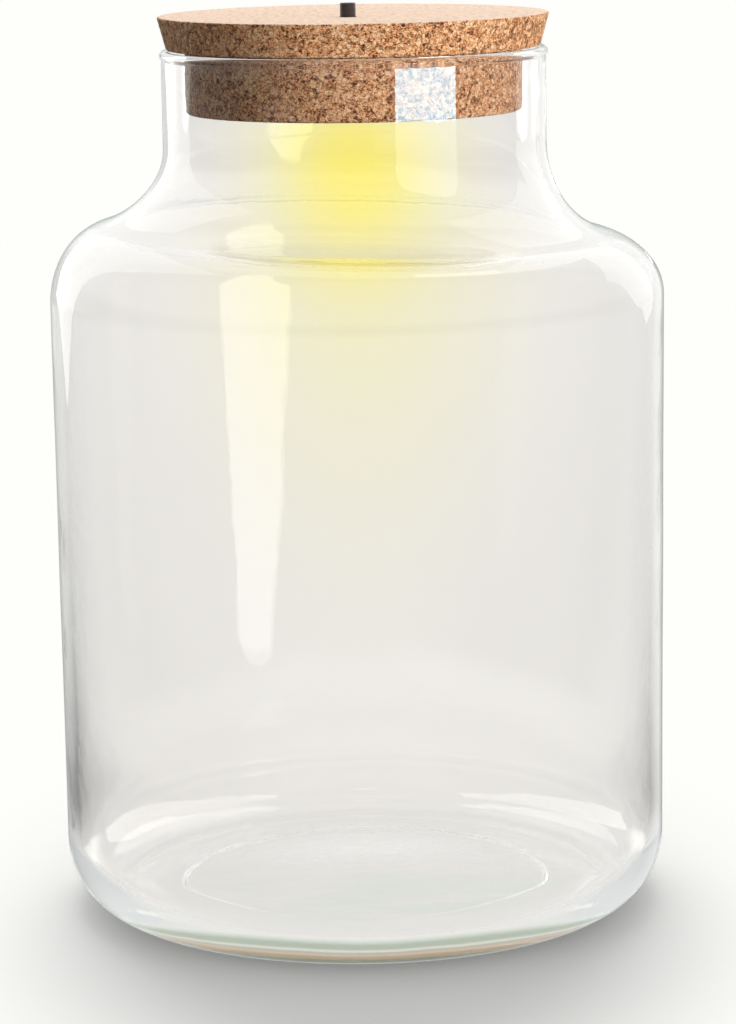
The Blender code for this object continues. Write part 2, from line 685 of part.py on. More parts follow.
def make_reflector():
    """A bowl that flares like a square root from its throat, under the board, to its mouth."""
    steps = 5
    mouth = REFLECTOR_RADIUS - REFLECTOR_WALL
    depth = UNDER_BOARD - REFLECTOR_BOTTOM
    inside = []
    for step in range(steps + 1):
        share = step / steps
        radius = math.sqrt(REFLECTOR_THROAT**2 + (mouth**2 - REFLECTOR_THROAT**2) * share)
        inside.append((radius, UNDER_BOARD - depth * share))
    outside = [(radius + REFLECTOR_WALL, height) for radius, height in inside]
    return [turned("reflector", outside + inside[::-1], SMALL_SIDES, SILVERED, closed=True)]


def make_lens():
    inner = LENS_RADIUS - LENS_WALL
    rim = LENS_RADIUS + LENS_RIM
    bowl = COVER_BOTTOM - LENS_TIP
    inside = arc((0, COVER_BOTTOM), (inner, bowl - LENS_WALL / 2), -90, 0, 5)
    profile = [(radius, height + LENS_WALL / 2) for radius, height in inside]
    profile += [(inner, LENS_RIM_TOP), (rim, LENS_RIM_TOP)]
    profile += [(rim, LENS_RIM_BOTTOM), (LENS_RADIUS, LENS_RIM_BOTTOM)]
    profile += arc((0, COVER_BOTTOM), (LENS_RADIUS, bowl), 0, -90, 5)
    return [turned("lamp_lens", profile, SMALL_SIDES, FROSTED_PLASTIC)]


def make_cover():
    profile = [
        (SKIRT_RADIUS, LUG_TOP), (SKIRT_RADIUS, COVER_TOP), (COVER_RADIUS, COVER_TOP),
        (COVER_RADIUS, COVER_BOTTOM), (LENS_HOLE, COVER_BOTTOM), (LENS_HOLE, COVER_TOP),
        (SKIRT_RADIUS - SKIRT_WALL, COVER_TOP), (SKIRT_RADIUS - SKIRT_WALL, LUG_TOP),
    ]
    cover = turned("battery_cover", profile, CUP_SIDES, WHITE_PLASTIC, closed=True)
    for number, angle in enumerate(LUG_ANGLES, 1):
        lug = sector(
            f"lug_{number}", SKIRT_RADIUS - OVERLAP, COVER_RADIUS, angle, LUG_SPAN,
            LUG_BOTTOM, LUG_TOP - LUG_SET_DOWN,
        )
        join(cover, lug)
    for number, side in enumerate((-1, 1), 1):
        height = GRIP_HEIGHT + OVERLAP
        centre = (side * GRIP_OFFSET, 0, COVER_BOTTOM + OVERLAP - height / 2)
        size = (GRIP_WIDTH, GRIP_LENGTH, height)
        grip = box(f"grip_{number}", size, centre, None, edge=GRIP_WIDTH * GRIP_EDGE_SHARE, is_helper=True)
        join(cover, grip)
    return [cover]


def make_batteries():
    """Three cells, each between a flat contact at its raised end and a spring at its base."""
    pieces = []
    shoulder = CELL_LENGTH - CELL_NUB_HEIGHT
    edge = CELL_RADIUS - CELL_EDGE
    cell_profile = [
        (0, CELL_LENGTH), (CELL_NUB_RADIUS, CELL_LENGTH), (CELL_NUB_RADIUS, shoulder), (edge, shoulder),
        (CELL_RADIUS, shoulder - CELL_EDGE), (CELL_RADIUS, CELL_EDGE), (edge, 0), (0, 0),
    ]
    half = PLATE_SIZE / 2
    tab = half + PLATE_TAB_LENGTH
    step = half - PLATE_TAB_LENGTH
    plate_outline = [(-half, -half), (half, -half), (half, step), (tab, step), (tab, half), (-half, half)]
    plain_outline = [(-half, -half), (half, -half), (half, half), (-half, half)]
    for number, (centre, direction) in enumerate(BAYS, 1):
        base = centre - direction * (BAY_LENGTH / 2 - BATTERY_SPRING_LENGTH - FIT_GAP * 2)
        cell = turned(f"battery_cell_{number}", cell_profile, SMALL_SIDES // 2, CELL_SLEEVE)
        point_along(cell, base, direction)
        plate_place = centre + direction * (BAY_LENGTH / 2 - FIT_GAP - PLATE_THICKNESS / 2)
        outline = plate_outline if number == 1 else plain_outline
        plate = flat_plate(f"battery_plate_{number}", outline, PLATE_THICKNESS, STEEL)
        plate.rotation_euler = (math.pi / 2, 0, 0 if direction.y else math.pi / 2)
        plate.location = plate_place
        coil = coil_points(
            BATTERY_SPRING_TURNS, BATTERY_SPRING_BASE, BATTERY_SPRING_TIP,
            BATTERY_SPRING_LENGTH - BATTERY_SPRING_WIRE * 2,
        )
        spring = tube(f"battery_spring_{number}", coil, BATTERY_SPRING_WIRE, STEEL, smoothness=1)
        point_along(
            spring, centre - direction * (BAY_LENGTH / 2 - FIT_GAP - BATTERY_SPRING_WIRE), direction
        )
        pieces += [cell, plate, spring]
    print("least gap in a battery spring, m:", least_gap(coil, BATTERY_SPRING_WIRE))
    return pieces


def make_switch():
    place = (SWITCH_SIDE, SWITCH_FRONT)
    size = (SWITCH_WIDTH, SWITCH_WIDTH, SWITCH_HEIGHT)
    centre = (*place, SWITCH_BOTTOM + SWITCH_HEIGHT / 2)
    body = box("switch_body", size, centre, BLACK_PLASTIC, edge=SWITCH_EDGE)
    bore_profile = [
        (0, SWITCH_TOP + OVERRUN), (COLLAR_RADIUS + FIT_GAP, SWITCH_TOP + OVERRUN),
        (COLLAR_RADIUS + FIT_GAP, SWITCH_TOP - COLLAR_RECESS_DEPTH),
        (SPRING_BORE, SWITCH_TOP - COLLAR_RECESS_DEPTH), (SPRING_BORE, SPRING_SEAT), (0, SPRING_SEAT),
    ]
    bore = turned("switch_bore", bore_profile, SMALL_SIDES, None, is_helper=True)
    bore.location = (*place, 0)
    cut(body, bore)
    pieces = [body]
    for number, side in enumerate((-1, 1), 1):
        centre = (SWITCH_SIDE + side * TERMINAL_OFFSET, SWITCH_FRONT, TERMINAL_TOP - TERMINAL_LENGTH / 2)
        size = (TERMINAL_THICKNESS, TERMINAL_WIDTH, TERMINAL_LENGTH)
        pieces.append(box(f"switch_terminal_{number}", size, centre, STEEL))
    length = COLLAR_BOTTOM - SPRING_SEAT - FIT_GAP * 2 - SWITCH_SPRING_WIRE * 2
    coil = coil_points(SWITCH_SPRING_TURNS, SWITCH_SPRING_RADIUS, SWITCH_SPRING_RADIUS, length)
    spring = tube("switch_spring", coil, SWITCH_SPRING_WIRE, STEEL, smoothness=1)
    spring.location = (*place, SPRING_SEAT + FIT_GAP + SWITCH_SPRING_WIRE)
    pieces.append(spring)
    print("least gap in the switch spring, m:", least_gap(coil, SWITCH_SPRING_WIRE))
    return pieces


def make_button():
    """The black cap on its long stem, with a collar that keeps it under the roof."""
    profile = [
        (0, BUTTON_TOP), (BUTTON_RADIUS - BUTTON_EDGE, BUTTON_TOP), (BUTTON_RADIUS, BUTTON_TOP - BUTTON_EDGE),
        (BUTTON_RADIUS, COLLAR_TOP), (COLLAR_RADIUS, COLLAR_TOP), (COLLAR_RADIUS, COLLAR_BOTTOM),
        (STEM_RADIUS, COLLAR_BOTTOM), (STEM_RADIUS, STEM_BOTTOM), (0, STEM_BOTTOM),
    ]
    profile = [(radius, height - LID_TOP) for radius, height in profile]
    button = turned("switch_button", profile, SMALL_SIDES, BLACK_PLASTIC)
    button.location = (SWITCH_SIDE, SWITCH_FRONT, LID_TOP)
    return [button]


def make_wires():
    front_plate = SIDE_BAY_FRONT + FIT_GAP + PLATE_THICKNESS / 2
    tab_end = -CELL_SIDE + PLATE_SIZE / 2 + PLATE_TAB_LENGTH + FIT_GAP
    tab_height = CELL_AXIS + PLATE_SIZE / 2 - PLATE_TAB_LENGTH / 2
    terminal_side = TERMINAL_THICKNESS / 2 + FIT_GAP
    terminal_front = SWITCH_FRONT - TERMINAL_WIDTH / 2 - FIT_GAP
    spring_edge = BATTERY_SPRING_BASE + BATTERY_SPRING_WIRE + FIT_GAP
    spring_inset = FIT_GAP + BATTERY_SPRING_WIRE
    plate_edge = CELL_AXIS - PLATE_SIZE / 2 - FIT_GAP
    under_spring = CELL_AXIS - spring_edge
    edge_radius = BOARD_RADIUS + FIT_GAP
    ahead = Vector((0, WIRE_REACH, 0))
    right = Vector((WIRE_REACH, 0, 0))
    pad_a, pad_b = (polar(edge_radius, angle, BOARD_MIDDLE) for angle in BOARD_WIRE_ANGLES)
    inward_a, inward_b = (-polar(WIRE_REACH, angle, 0) for angle in BOARD_WIRE_ANGLES)
    drop = UP * -LINK_REACH
    routes = {
        "red_wire": (
            Vector((tab_end, front_plate, tab_height)), right,
            Vector((SWITCH_SIDE - TERMINAL_OFFSET, terminal_front, WIRE_LOW)), ahead,
        ),
        "switch_wire": (
            Vector((SWITCH_SIDE + TERMINAL_OFFSET + terminal_side, SWITCH_FRONT, WIRE_LOW)), right, pad_a, inward_a,
        ),
        "black_wire": (
            Vector((CELL_SIDE - spring_edge, SIDE_BAY_FRONT + spring_inset, CELL_AXIS)), -right, pad_b, inward_b,
        ),
        "link_wire_1": (
            Vector((-CELL_SIDE, SIDE_BAY_REAR - spring_inset, under_spring)), drop,
            Vector((-BAY_LENGTH / 2 + FIT_GAP + PLATE_THICKNESS / 2, CELL_BACK, plate_edge)), -drop,
        ),
        "link_wire_2": (
            Vector((CELL_SIDE, SIDE_BAY_REAR - FIT_GAP - PLATE_THICKNESS / 2, plate_edge)), drop,
            Vector((BAY_LENGTH / 2 - spring_inset, CELL_BACK, under_spring)), -drop,
        ),
    }
    pieces = []
    for name, (start, leave, end, arrive) in routes.items():
        colour = BLACK_INSULATION if name == "black_wire" else RED_INSULATION
        pieces.append(tube(name, smooth_route(start, leave, end, arrive), WIRE_RADIUS, colour, smoothness=2))
    return pieces


def empty(name, place, parent=None):
    obj = bpy.data.objects.new(name, None)
    PARTS.objects.link(obj)
    obj.location = place
    if parent:
        obj.parent = parent
        obj.matrix_parent_inverse = parent.matrix_world.inverted()
    bpy.context.view_layer.update()
    return obj


def carry(parent, pieces):
    """Hangs the pieces on the empty without moving them."""
    bpy.context.view_layer.update()
    for piece in pieces:
        piece.parent = parent
        piece.matrix_parent_inverse = parent.matrix_world.inverted()


def main():
    make_jar()
    bore = button_bore()
    stopper = empty("stopper_lift", (0, 0, LID_BOTTOM))
    carry(stopper, make_cork(bore) + make_housing(bore) + make_housing_screws())
    carry(stopper, make_board() + make_leds() + make_reflector())
    carry(stopper, make_batteries() + make_switch() + make_wires())
    carry(empty("cover_turn", (0, 0, COVER_BOTTOM), stopper), make_cover() + make_lens())
    carry(stopper, make_button())


main()
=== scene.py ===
"""Looks of the wide-necked glass jar with the cork lamp stopper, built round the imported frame.

Metres, +Z up, in the frame of the CAD model. The front, where the push button is, faces -Y.
"""

import json
from math import atan2, cos, degrees, pi, radians, sin, sqrt, tan

import bmesh
import bpy
from mathutils import Euler, Matrix, Vector, noise

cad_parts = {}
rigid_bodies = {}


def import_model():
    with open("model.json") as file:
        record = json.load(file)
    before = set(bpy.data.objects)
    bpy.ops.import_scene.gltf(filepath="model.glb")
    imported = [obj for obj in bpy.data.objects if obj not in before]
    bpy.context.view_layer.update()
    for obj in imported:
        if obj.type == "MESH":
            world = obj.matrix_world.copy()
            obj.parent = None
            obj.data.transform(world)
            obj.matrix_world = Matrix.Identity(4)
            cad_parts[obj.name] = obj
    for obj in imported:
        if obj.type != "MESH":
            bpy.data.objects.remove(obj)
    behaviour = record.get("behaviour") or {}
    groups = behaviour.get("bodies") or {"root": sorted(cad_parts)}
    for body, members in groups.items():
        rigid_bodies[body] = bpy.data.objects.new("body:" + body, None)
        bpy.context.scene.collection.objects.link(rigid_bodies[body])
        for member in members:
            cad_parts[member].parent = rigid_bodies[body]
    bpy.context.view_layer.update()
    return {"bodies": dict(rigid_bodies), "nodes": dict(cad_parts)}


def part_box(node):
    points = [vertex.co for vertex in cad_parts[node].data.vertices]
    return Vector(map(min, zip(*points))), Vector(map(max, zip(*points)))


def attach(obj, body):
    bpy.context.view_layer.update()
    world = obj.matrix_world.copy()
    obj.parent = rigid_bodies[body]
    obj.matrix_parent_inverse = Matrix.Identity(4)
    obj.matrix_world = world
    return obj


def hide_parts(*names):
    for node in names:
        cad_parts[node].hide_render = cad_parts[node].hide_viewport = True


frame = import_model()
NODES = frame["nodes"]
BODIES = frame["bodies"]

# Photograph and camera
PHOTO_LONG_SIDE = 1024
FOCAL_PIXELS = 3751
AXIS_OFFSET_PIXELS = 7.57  # the jar's axis stands this far left of the picture's centre
SENSOR_SIZE = 36.0
CAMERA_DISTANCE = 1.2478
CAMERA_HEIGHT = 0.3634
CAMERA_PITCH = 10.48
CAMERA_ROLL = -0.886

# Glass jar
NECK_RADIUS = 0.0637
NECK_WALL = 0.0029
RIM_SWELL = 0.0006
RIM_BEAD_HEIGHT = 0.0030
THROAT_HEIGHT = 0.2572
SHOULDER_RADIUS = 0.0236
WALL_TOP = 0.2062
BODY_RADIUS_TOP = 0.1024
BODY_RADIUS_LOW = 0.1017
BODY_WALL = 0.0035
HEEL_HEIGHT = 0.0240
HEEL_WALL = 0.0044
FOOT_RADIUS = 0.0825
FOOT_RING_WIDTH = 0.0070
PUNT_RISE = 0.0040
PUNT_STEP_RADIUS = 0.0630  # of the round step under the base
PUNT_STEP = (0.0018, 0.0005)  # its width and rise
BASE_THICKNESS = 0.0060
FLOOR_CROWN = 0.0028
INNER_HEEL_WIDTH = 0.0185
INNER_HEEL_HEIGHT = 0.0200
JAR_SIDES = 256
BEAD_TURN = (0.25, 0.82)  # where the rim's bead turns in: shares of its swell and of its height
BEAD_FOOT = 0.0003  # the wall is straight again this far under the bead
CURVE_STEPS = 24  # points along each long wall or curve of the jar's outline
RIM_STEPS = 20
HEEL_STEPS = 28
PUNT_STEPS = 96
ON_AXIS = 1e-7  # a ring narrower than this is one point
# Hand-blown unevenness: the left shoulder stands higher than a true circle and the right one lower
SHOULDER_LEAN = 0.0029
SHOULDER_RISE = 0.0004  # of the whole shoulder
WALL_WAVE = 0.00012
WALL_WAVE_SIZE = 0.045

# Glass
WHITE = (1.0, 1.0, 1.0)
GLASS_IOR = 1.5
GLASS_TINT = (0.955, 0.937, 0.933)
TINTED_TURNS = 3.5  # surfaces that tint the light, after which only the body of the glass does
GLASS_BODY = (0.40, 0.80, 0.62)
GLASS_BODY_DENSITY = 1.5
GLASS_WAVE_SIZES = (0.030, 0.006)  # slow and fine waves in the surface
FINE_WAVE_SHARE = 0.15
GLASS_WAVE_DEPTH = 0.00012
SMEAR_SIZE = 0.018
SMEAR_LIMITS = (0.55, 0.80)
SMEAR_ROUGHNESS = 0.012
PAINTED_FOOT_LINE_HEIGHT = 0.0130  # height of the painted lines round the foot, in front: painted shade and a painted reflection of the cork
PAINTED_FOOT_LINE_BACK_SHARE = 0.16  # share of that height at the sides and the back
PAINTED_FOOT_LINE_TURN = (-0.30, -0.92)  # Y over radius, where the lines start to grow and where they are full
PAINTED_FOOT_LINE_RADII = (0.0815, 0.0835)  # the lines come in between these
PAINTED_FOOT_LINE_DRIFT = 0.04  # unevenness of the lines, and its size
PAINTED_FOOT_LINE_DRIFT_SIZE = 0.030
# Colours of the painted lines round the foot: dark green painted shade, an orange-brown painted reflection of
# the cork, and pale glass between them
PAINTED_FOOT_REFLECTION_TONES = (
    (0.00, (0.015, 0.027, 0.012)), (0.23, (0.015, 0.022, 0.006)), (0.32, (0.137, 0.098, 0.032)),
    (0.41, (0.350, 0.160, 0.073)), (0.48, (0.490, 0.334, 0.200)), (0.55, (0.320, 0.270, 0.200)),
    (0.62, (0.700, 0.760, 0.630)), (0.70, (0.290, 0.350, 0.240)), (0.82, (0.300, 0.380, 0.280)),
    (0.92, (0.620, 0.720, 0.600)), (1.00, GLASS_TINT),
)
PAINTED_OUTLINE_SHADE = (0.52, 0.54, 0.53)  # painted shade of the wall where it is seen edge on, standing in for the dark room it reflects there
PAINTED_OUTLINE_SHARE = 0.75
PAINTED_OUTLINE_FACING = (0.84, 0.97)
BASE_SWIRL = (0.840, 0.905, 0.860)  # colour of the green streaks in the base
SWIRL_SIZE = 0.020
SWIRL_LIMITS = (0.42, 0.62)
SWIRL_TURN = 0.15
SWIRL_HEIGHTS = (0.0120, 0.0095)  # no streaks at the first and full ones at the second
SWIRL_RADII = (0.078, 0.060)
SWIRL_FRONT = (0.010, -0.030)  # Y, from SWIRL_BACK_SHARE at the first to full at the second
SWIRL_BACK_SHARE = 0.15
SHADOW_TINTS = ((0.010, 0.55), (0.035, 0.72), (0.200, 0.76), (0.250, 0.97))  # light let through, by height

# Cork stopper
LID_EDGE_ROUND = 0.0006
LID_RADIUS_LOW = 0.0622
PLUG_EDGE_ROUND = 0.0012
PLUG_FLANGE_GAP = 0.0003  # between the plug and the lamp housing
POCKET_RADIUS = 0.0450
POCKET_SEAT = 0.0023  # of the lamp housing, above the plug's lower face
BORE_RADIUS = 0.00295
BORE_SIDES = 48
BORE_OVERRUN = 0.001
CORK_SIDES = 360
CORK_ROUGHNESS_DEPTH = 0.00016
TORN_SIZES = (0.0016, 0.0006)
PIT_SIZE = 0.0042
PIT_LIMIT = 0.42
PIT_DEPTH = 3.0  # times the depth of the other roughness
CORK_GRAIN = 0.0014
CRUMBS_PER_GRAIN = 2.3
BEND_SIZE = 0.0011  # of the bends in the granules' outlines
BEND_REACH = 0.0014
FIBRE_TURNS = ((0.3, 0.5, 0.2), (1.1, -0.4, 1.2), (-0.7, 0.9, 2.1))
FIBRE_PICKS = (0.34, 0.67)  # a granule's random number picks the way its fibres run
FIBRE_SIZE = 0.0011
FIBRE_STRETCH = 3.2
CORK_SHARES = (0.34, 0.30, 0.36)  # of granules, crumbs and fibres in the tone
CORK_TONES = (
    (0.26, (0.080, 0.024, 0.010)), (0.34, (0.460, 0.165, 0.062)), (0.45, (0.840, 0.375, 0.155)),
    (0.58, (0.960, 0.500, 0.240)), (0.74, (0.990, 0.690, 0.420)),
)
SEAM_WIDTH = 0.07
SEAM_SHADE = 0.22
GRIT_SIZE = 0.0004
GRIT_SHADES = (0.80, 1.08)
FLECK_SIZE = 0.0021
FLECK_LIMITS = (0.63, 0.67)
FLECK_COLOUR = (0.060, 0.024, 0.012)
# Paler top face: sanded cork, with painted light from above
TOP_LIT_SANDED_SHARE = 0.80
SANDED_SPECK_SIZE = 0.0020
TOP_LIT_SANDED_TONES = ((0.36, (0.42, 0.26, 0.17)), (0.46, (0.80, 0.64, 0.51)), (0.64, (0.90, 0.76, 0.64)))
CORK_BUMPS = (0.00060, 0.00008)  # depth on the sides and on the sanded top

# Push button
BUTTON_SIDES = 64
BUTTON_RADIUS = 0.00255
BUTTON_FLANGE_RADIUS = 0.0034
BUTTON_STEM_RADIUS = 0.0012
BUTTON_DEPTHS = (0.0120, 0.0132, 0.0146, 0.0147)  # under the lid's top: shaft's end, flange and stem's start
BUTTON_EDGE = 0.00035
BUTTON_DISH = 0.00015

# Glow under the stopper
GLOW_CENTRE = Vector((0, 0, 0.2495))
GLOW_CORE = {"radius": 0.0230, "stretch": 1.4, "power": 2.5, "peak": 24.0}
GLOW_HALO = {"radius": 0.0440, "stretch": 2.15, "power": 2.0, "peak": 5.9}
GLOW_RED = 0.110
GLOW_GREEN_SHARE = 0.42
GLOW_NECK_RADIUS = 0.0590
GLOW_BODY_RADIUS = 0.0930
GLOW_SIDES = 64
GLOW_COLOUR = (1.0, 0.985, 0.0)
GLOW_SHOULDER = (-0.036, -0.006)  # heights between which the glow narrows to the neck
GLOW_FADE = 0.60  # share of the width at which it starts to fade to the sides
# Its outline, as shares of the neck's and then of the body's radius, and heights
GLOW_NECK_OUTLINE = ((0, 0.0160), (0.9, 0.0158), (1, 0.0140), (1, -0.0010), (1.12, -0.0150))
GLOW_BODY_OUTLINE = (
    (0.90, -0.031), (1, -0.050), (1, -0.160), (0.85, -0.190), (0.5, -0.205), (0, -0.210),
)

# Studio
LIGHT_BOUNCES = 24
FLOOR_SIZE = 6.0
FLOOR_DROP = 0.0002
FLOOR_TONES = ((0.84, 0.84, 0.82), (0.86, 0.86, 0.84))
FLOOR_BOUNCE = (0.40, 0.40, 0.39)  # its colour for light that bounces from it to the object
FLOOR_LIFT = 0.10  # even light on the floor, so that it is as white as the background where no shadow falls
DUST_SIZE = 0.20
CLOTH_SIZE = 0.25
SHADOW_FADE = (0.13, 0.29)  # distances between which the shadow gives way to the plain background
SHADOW_NARROWED = 1.8  # it does so this many times sooner to the sides than to the front
BACKGROUND = (0.992, 0.998, 0.968)
DOME_LEVEL = 0.46
BACK_LAMP = {"place": (-0.05, 0.75, 1.45), "aim": (0, 0, 0.1), "size": (1.0, 0.8), "power": 17.2}
KEY_LAMP = {"place": (1.32, -0.96, 0.38), "aim": (0, 0, 0.26), "size": (0.9, 0.5), "power": 57.0}
DEEP_TURNS = 7.5  # light that has met more surfaces than this is trapped in the glass
DEEP_LEVEL = 0.90  # of the floor, for such light
CROSSED_TURNS = 4.5  # light that has met more surfaces than this has crossed the jar and come back
# Brightness of the studio as reflections see it, at these angles from the front: right is positive
UPPER_TURNS = (-180, -160, -130, -60, 0, 60, 130, 160, 180)
UPPER_ROOM = (1.0, 1.0, 0.55, 0.50, 0.60, 0.60, 0.60, 1.0, 1.0)
LOWER_TURNS = (-180, -168, -156, -60, 0, 60, 136, 150, 180)
EYE_ROOM = (1.0, 1.0, 0.20, 0.12, 0.15, 0.20, 0.40, 0.85, 1.0)
FAR_FLOOR = (1.0, 1.0, 0.40, 0.48, 0.62, 0.62, 0.50, 0.80, 0.95)
NEAR_FLOOR = (1.0, 0.9, 0.30, 0.06, 0.42, 0.42, 0.42, 0.80, 0.95)
STEEP_FLOOR_LEVEL = 0.80
# Rise of the line of sight, in degrees, where one of these gives way to the next
EYE_RISE = (14.0, 4.0)
FAR_FLOOR_RISE = (-5.4, -6.6)
NEAR_FLOOR_RISE = (-8.0, -14.0)
STEEP_FLOOR_RISE = (-20.0, -34.0)
BEHIND_TURN = (100.0, 140.0)  # from the front to the white sweep behind
THROUGH_SHARE = 0.80  # how much of the floor seen through glass is plain, with no shadow
UNDER_JAR_LEVEL = 1.0
UNDER_JAR_FADE = (0.12, 0.20)
# Brightness of the floor through glass, near the jar and further out, at these angles from the front
THROUGH_TURNS = (-180, -150, -125, -60, -20, 20, 60, 120, 150, 180)
FLOOR_THROUGH_NEAR = (1.0, 1.0, 0.30, 0.15, 0.42, 0.46, 0.46, 0.42, 1.0, 1.0)
FLOOR_THROUGH_FAR = (1.0, 1.0, 0.55, 0.50, 0.62, 0.65, 0.65, 0.60, 1.0, 1.0)
FLOOR_THROUGH_FADE = (0.30, 1.20)

# Lit panels beside the jar, as (y, z) corners in a plane at this distance from its axis
PANEL_DISTANCE = 0.200
PANEL_LEVEL = 1.45
LEFT_PANEL = (
    (0.045, 0.200), (0.060, 0.180), (0.091, 0.149), (0.129, 0.179), (0.267, 0.268), (0.450, 0.330),
    (0.400, 0.420), (0.255, 0.495), (0.110, 0.470), (0.022, 0.469), (-0.051, 0.495), (-0.090, 0.511),
    (-0.061, 0.424), (-0.034, 0.367), (-0.007, 0.327), (0.020, 0.295), (0.036, 0.258),
)
RIGHT_PANEL = (
    (0.030, 0.198), (0.070, 0.180), (0.104, 0.183), (0.124, 0.235), (0.183, 0.284), (0.384, 0.357),
    (0.452, 0.397), (0.429, 0.600), (0.200, 0.560), (0.060, 0.540), (-0.036, 0.526), (-0.089, 0.523),
    (-0.052, 0.422), (-0.027, 0.360), (0.010, 0.315), (0.026, 0.268), (0.020, 0.227),
)

# Lit panels high on each side: azimuth from the front and rise, in degrees, of each corner
HEEL_CARD_DISTANCE = 1.3
HEEL_CARD_LEVEL = 3.6
HEEL_WAYS_RIGHT = (
    (76, 68), (84, 48), (106, 22), (128, 10), (147, 6), (154, 12), (153, 28), (143, 40), (128, 56), (109, 70),
)
HEEL_WAYS_LEFT = (
    (-80, 66), (-92, 40), (-119, 16), (-143, 3), (-154, 7), (-147, 18), (-137, 34), (-122, 52), (-104, 66),
)

# Window that the neck mirrors. Its bright part stands further out than its dim part
WINDOW_STEPS = 24
WINDOW_TURN = (24.0, 62.0)  # where its reflection goes, in degrees from the front
WINDOW_DISTANCE = 0.150
WINDOW_NEAR = 0.029
WINDOW_SLOPE = 0.0800  # fall of the line of sight to the neck
WINDOW_SILL_DROP = -0.0008
WINDOW_HEIGHT = 0.0205
WINDOW_DIM_HEIGHT = 0.0140
WINDOW_CREST_DROP = 0.0026
WINDOW_CORNER = 0.40  # share of the half width at which the crest starts to round off
WINDOW_CORNER_DROP = 0.0050
WINDOW_COLOUR = (0.45, 0.82, 1.0)
WINDOW_LEVEL = 17.5
WINDOW_DIM_LEVEL = 2.4
FLAG_TURN = (8.0, 84.0)
FLAG_RADII = (0.096, 0.225)
FLAG_DROP = 0.0003
FLAG_LEVEL = 0.60

# Strip on the floor that the far wall mirrors. Each row is the height on the wall of one place in its
# reflection, the fall of the line of sight there, and the turns of its left and right side, in degrees
STRIP_LEVEL = 2.7
STRIP_LIFT = 0.0010
STRIP_SIDES = (
    (0.2080, 4.20, 57.5, 27.0), (0.2080, 6.55, 57.5, 27.0), (0.1800, 7.80, 57.0, 28.5),
    (0.1500, 9.08, 55.6, 31.0), (0.1200, 10.33, 54.2, 33.0), (0.0900, 11.56, 53.0, 35.5),
    (0.0720, 12.27, 52.4, 37.5), (0.0620, 12.67, 49.5, 38.5), (0.0580, 12.83, 44.5, 42.0),
)


def new_material(name):
    """A material with an empty node tree, as the material, its tree and its output node."""
    material = bpy.data.materials.new(name)
    material.use_nodes = True
    tree = material.node_tree
    tree.nodes.clear()
    return material, tree, tree.nodes.new("ShaderNodeOutputMaterial")


def add(tree, kind, inputs=None, **settings):
    """Adds a node. An input given as a socket is linked, and any other value is set on the socket."""
    node = tree.nodes.new("ShaderNode" + kind)
    for name, value in settings.items():
        setattr(node, name, value)
    for key, value in (inputs or {}).items():
        if isinstance(value, bpy.types.NodeSocket):
            tree.links.new(value, node.inputs[key])
        else:
            node.inputs[key].default_value = value
    return node


def maths(tree, operation, *values):
    """The output of a Math node on one to three numbers or sockets."""
    node = add(tree, "Math", {index: value for index, value in enumerate(values)}, operation=operation)
    return node.outputs[0]


def length(tree, vector):
    return add(tree, "VectorMath", {0: vector}, operation="LENGTH").outputs["Value"]


def axis_distance(tree, apart):
    """The distance from the Z axis, from a Separate XYZ node."""
    flat = add(tree, "CombineXYZ", {"X": apart.outputs["X"], "Y": apart.outputs["Y"]})
    return length(tree, flat.outputs[0])


def angle_from_front(tree, apart):
    """The angle in degrees from the front about Z, right positive, from a Separate XYZ node."""
    ahead = maths(tree, "MULTIPLY", apart.outputs["Y"], -1.0)
    return maths(tree, "DEGREES", maths(tree, "ARCTAN2", apart.outputs["X"], ahead))


def times(tree, first, second):
    return maths(tree, "MULTIPLY", first, second)


def plus(tree, first, second):
    return maths(tree, "ADD", first, second)


def remap(tree, value, low, high, to_low=0.0, to_high=1.0, smooth=False):
    ends = {"From Min": low, "From Max": high, "To Min": to_low, "To Max": to_high}
    kind = "SMOOTHSTEP" if smooth else "LINEAR"
    return add(tree, "MapRange", {"Value": value, **ends}, interpolation_type=kind).outputs["Result"]


def grey(level):
    return (level, level, level)


def mix_colour(tree, factor, first, second, blend="MIX"):
    node = add(tree, "Mix", data_type="RGBA", blend_type=blend)
    for socket, value in ((node.inputs[0], factor), (node.inputs[6], first), (node.inputs[7], second)):
        if isinstance(value, bpy.types.NodeSocket):
            tree.links.new(value, socket)
        else:
            socket.default_value = value if isinstance(value, float) else (*value, 1.0)
    return node.outputs[2]


def ramp(tree, value, stops):
    """The colour output of a ramp with (position, colour) stops."""
    node = add(tree, "ValToRGB", {"Fac": value})
    elements = node.color_ramp.elements
    while len(elements) < len(stops):
        elements.new(0.5)
    for element, (position, colour) in zip(elements, stops):
        element.position = position
        element.color = (*colour, 1.0)
    return node.outputs["Color"]


def turned_level(tree, angle, turns, levels):
    """A brightness by angle in degrees: each of levels at the angle that stands at its place in turns."""
    share = remap(tree, angle, -180.0, 180.0)
    return ramp(tree, share, [((turn + 180.0) / 360.0, grey(level)) for turn, level in zip(turns, levels)])


def object_place(tree):
    return add(tree, "TexCoord").outputs["Object"]


def noise_value(tree, place, size, detail=4.0, roughness=0.5):
    inputs = {"Vector": place, "Scale": 1.0 / size, "Detail": detail, "Roughness": roughness}
    return add(tree, "TexNoise", inputs).outputs["Fac"]


def bump(tree, height, depth):
    return add(tree, "Bump", {"Height": height, "Strength": 1.0, "Distance": depth}).outputs["Normal"]


def surfaced(material, output, shader):
    """The material, with the shader on its surface."""
    material.node_tree.links.new(shader.outputs[0], output.inputs["Surface"])
    return material


def spread(ends, steps):
    """Evenly spaced numbers from the first of ends to the second."""
    return [ends[0] + (ends[1] - ends[0]) * step / steps for step in range(steps + 1)]


def arc(centre, radii, start, end, steps):
    """Points (radius, height) on an ellipse about centre, from start to end in degrees."""
    turns = [radians(angle) for angle in spread((start, end), steps)]
    return [(centre[0] + radii[0] * cos(turn), centre[1] + radii[1] * sin(turn)) for turn in turns]


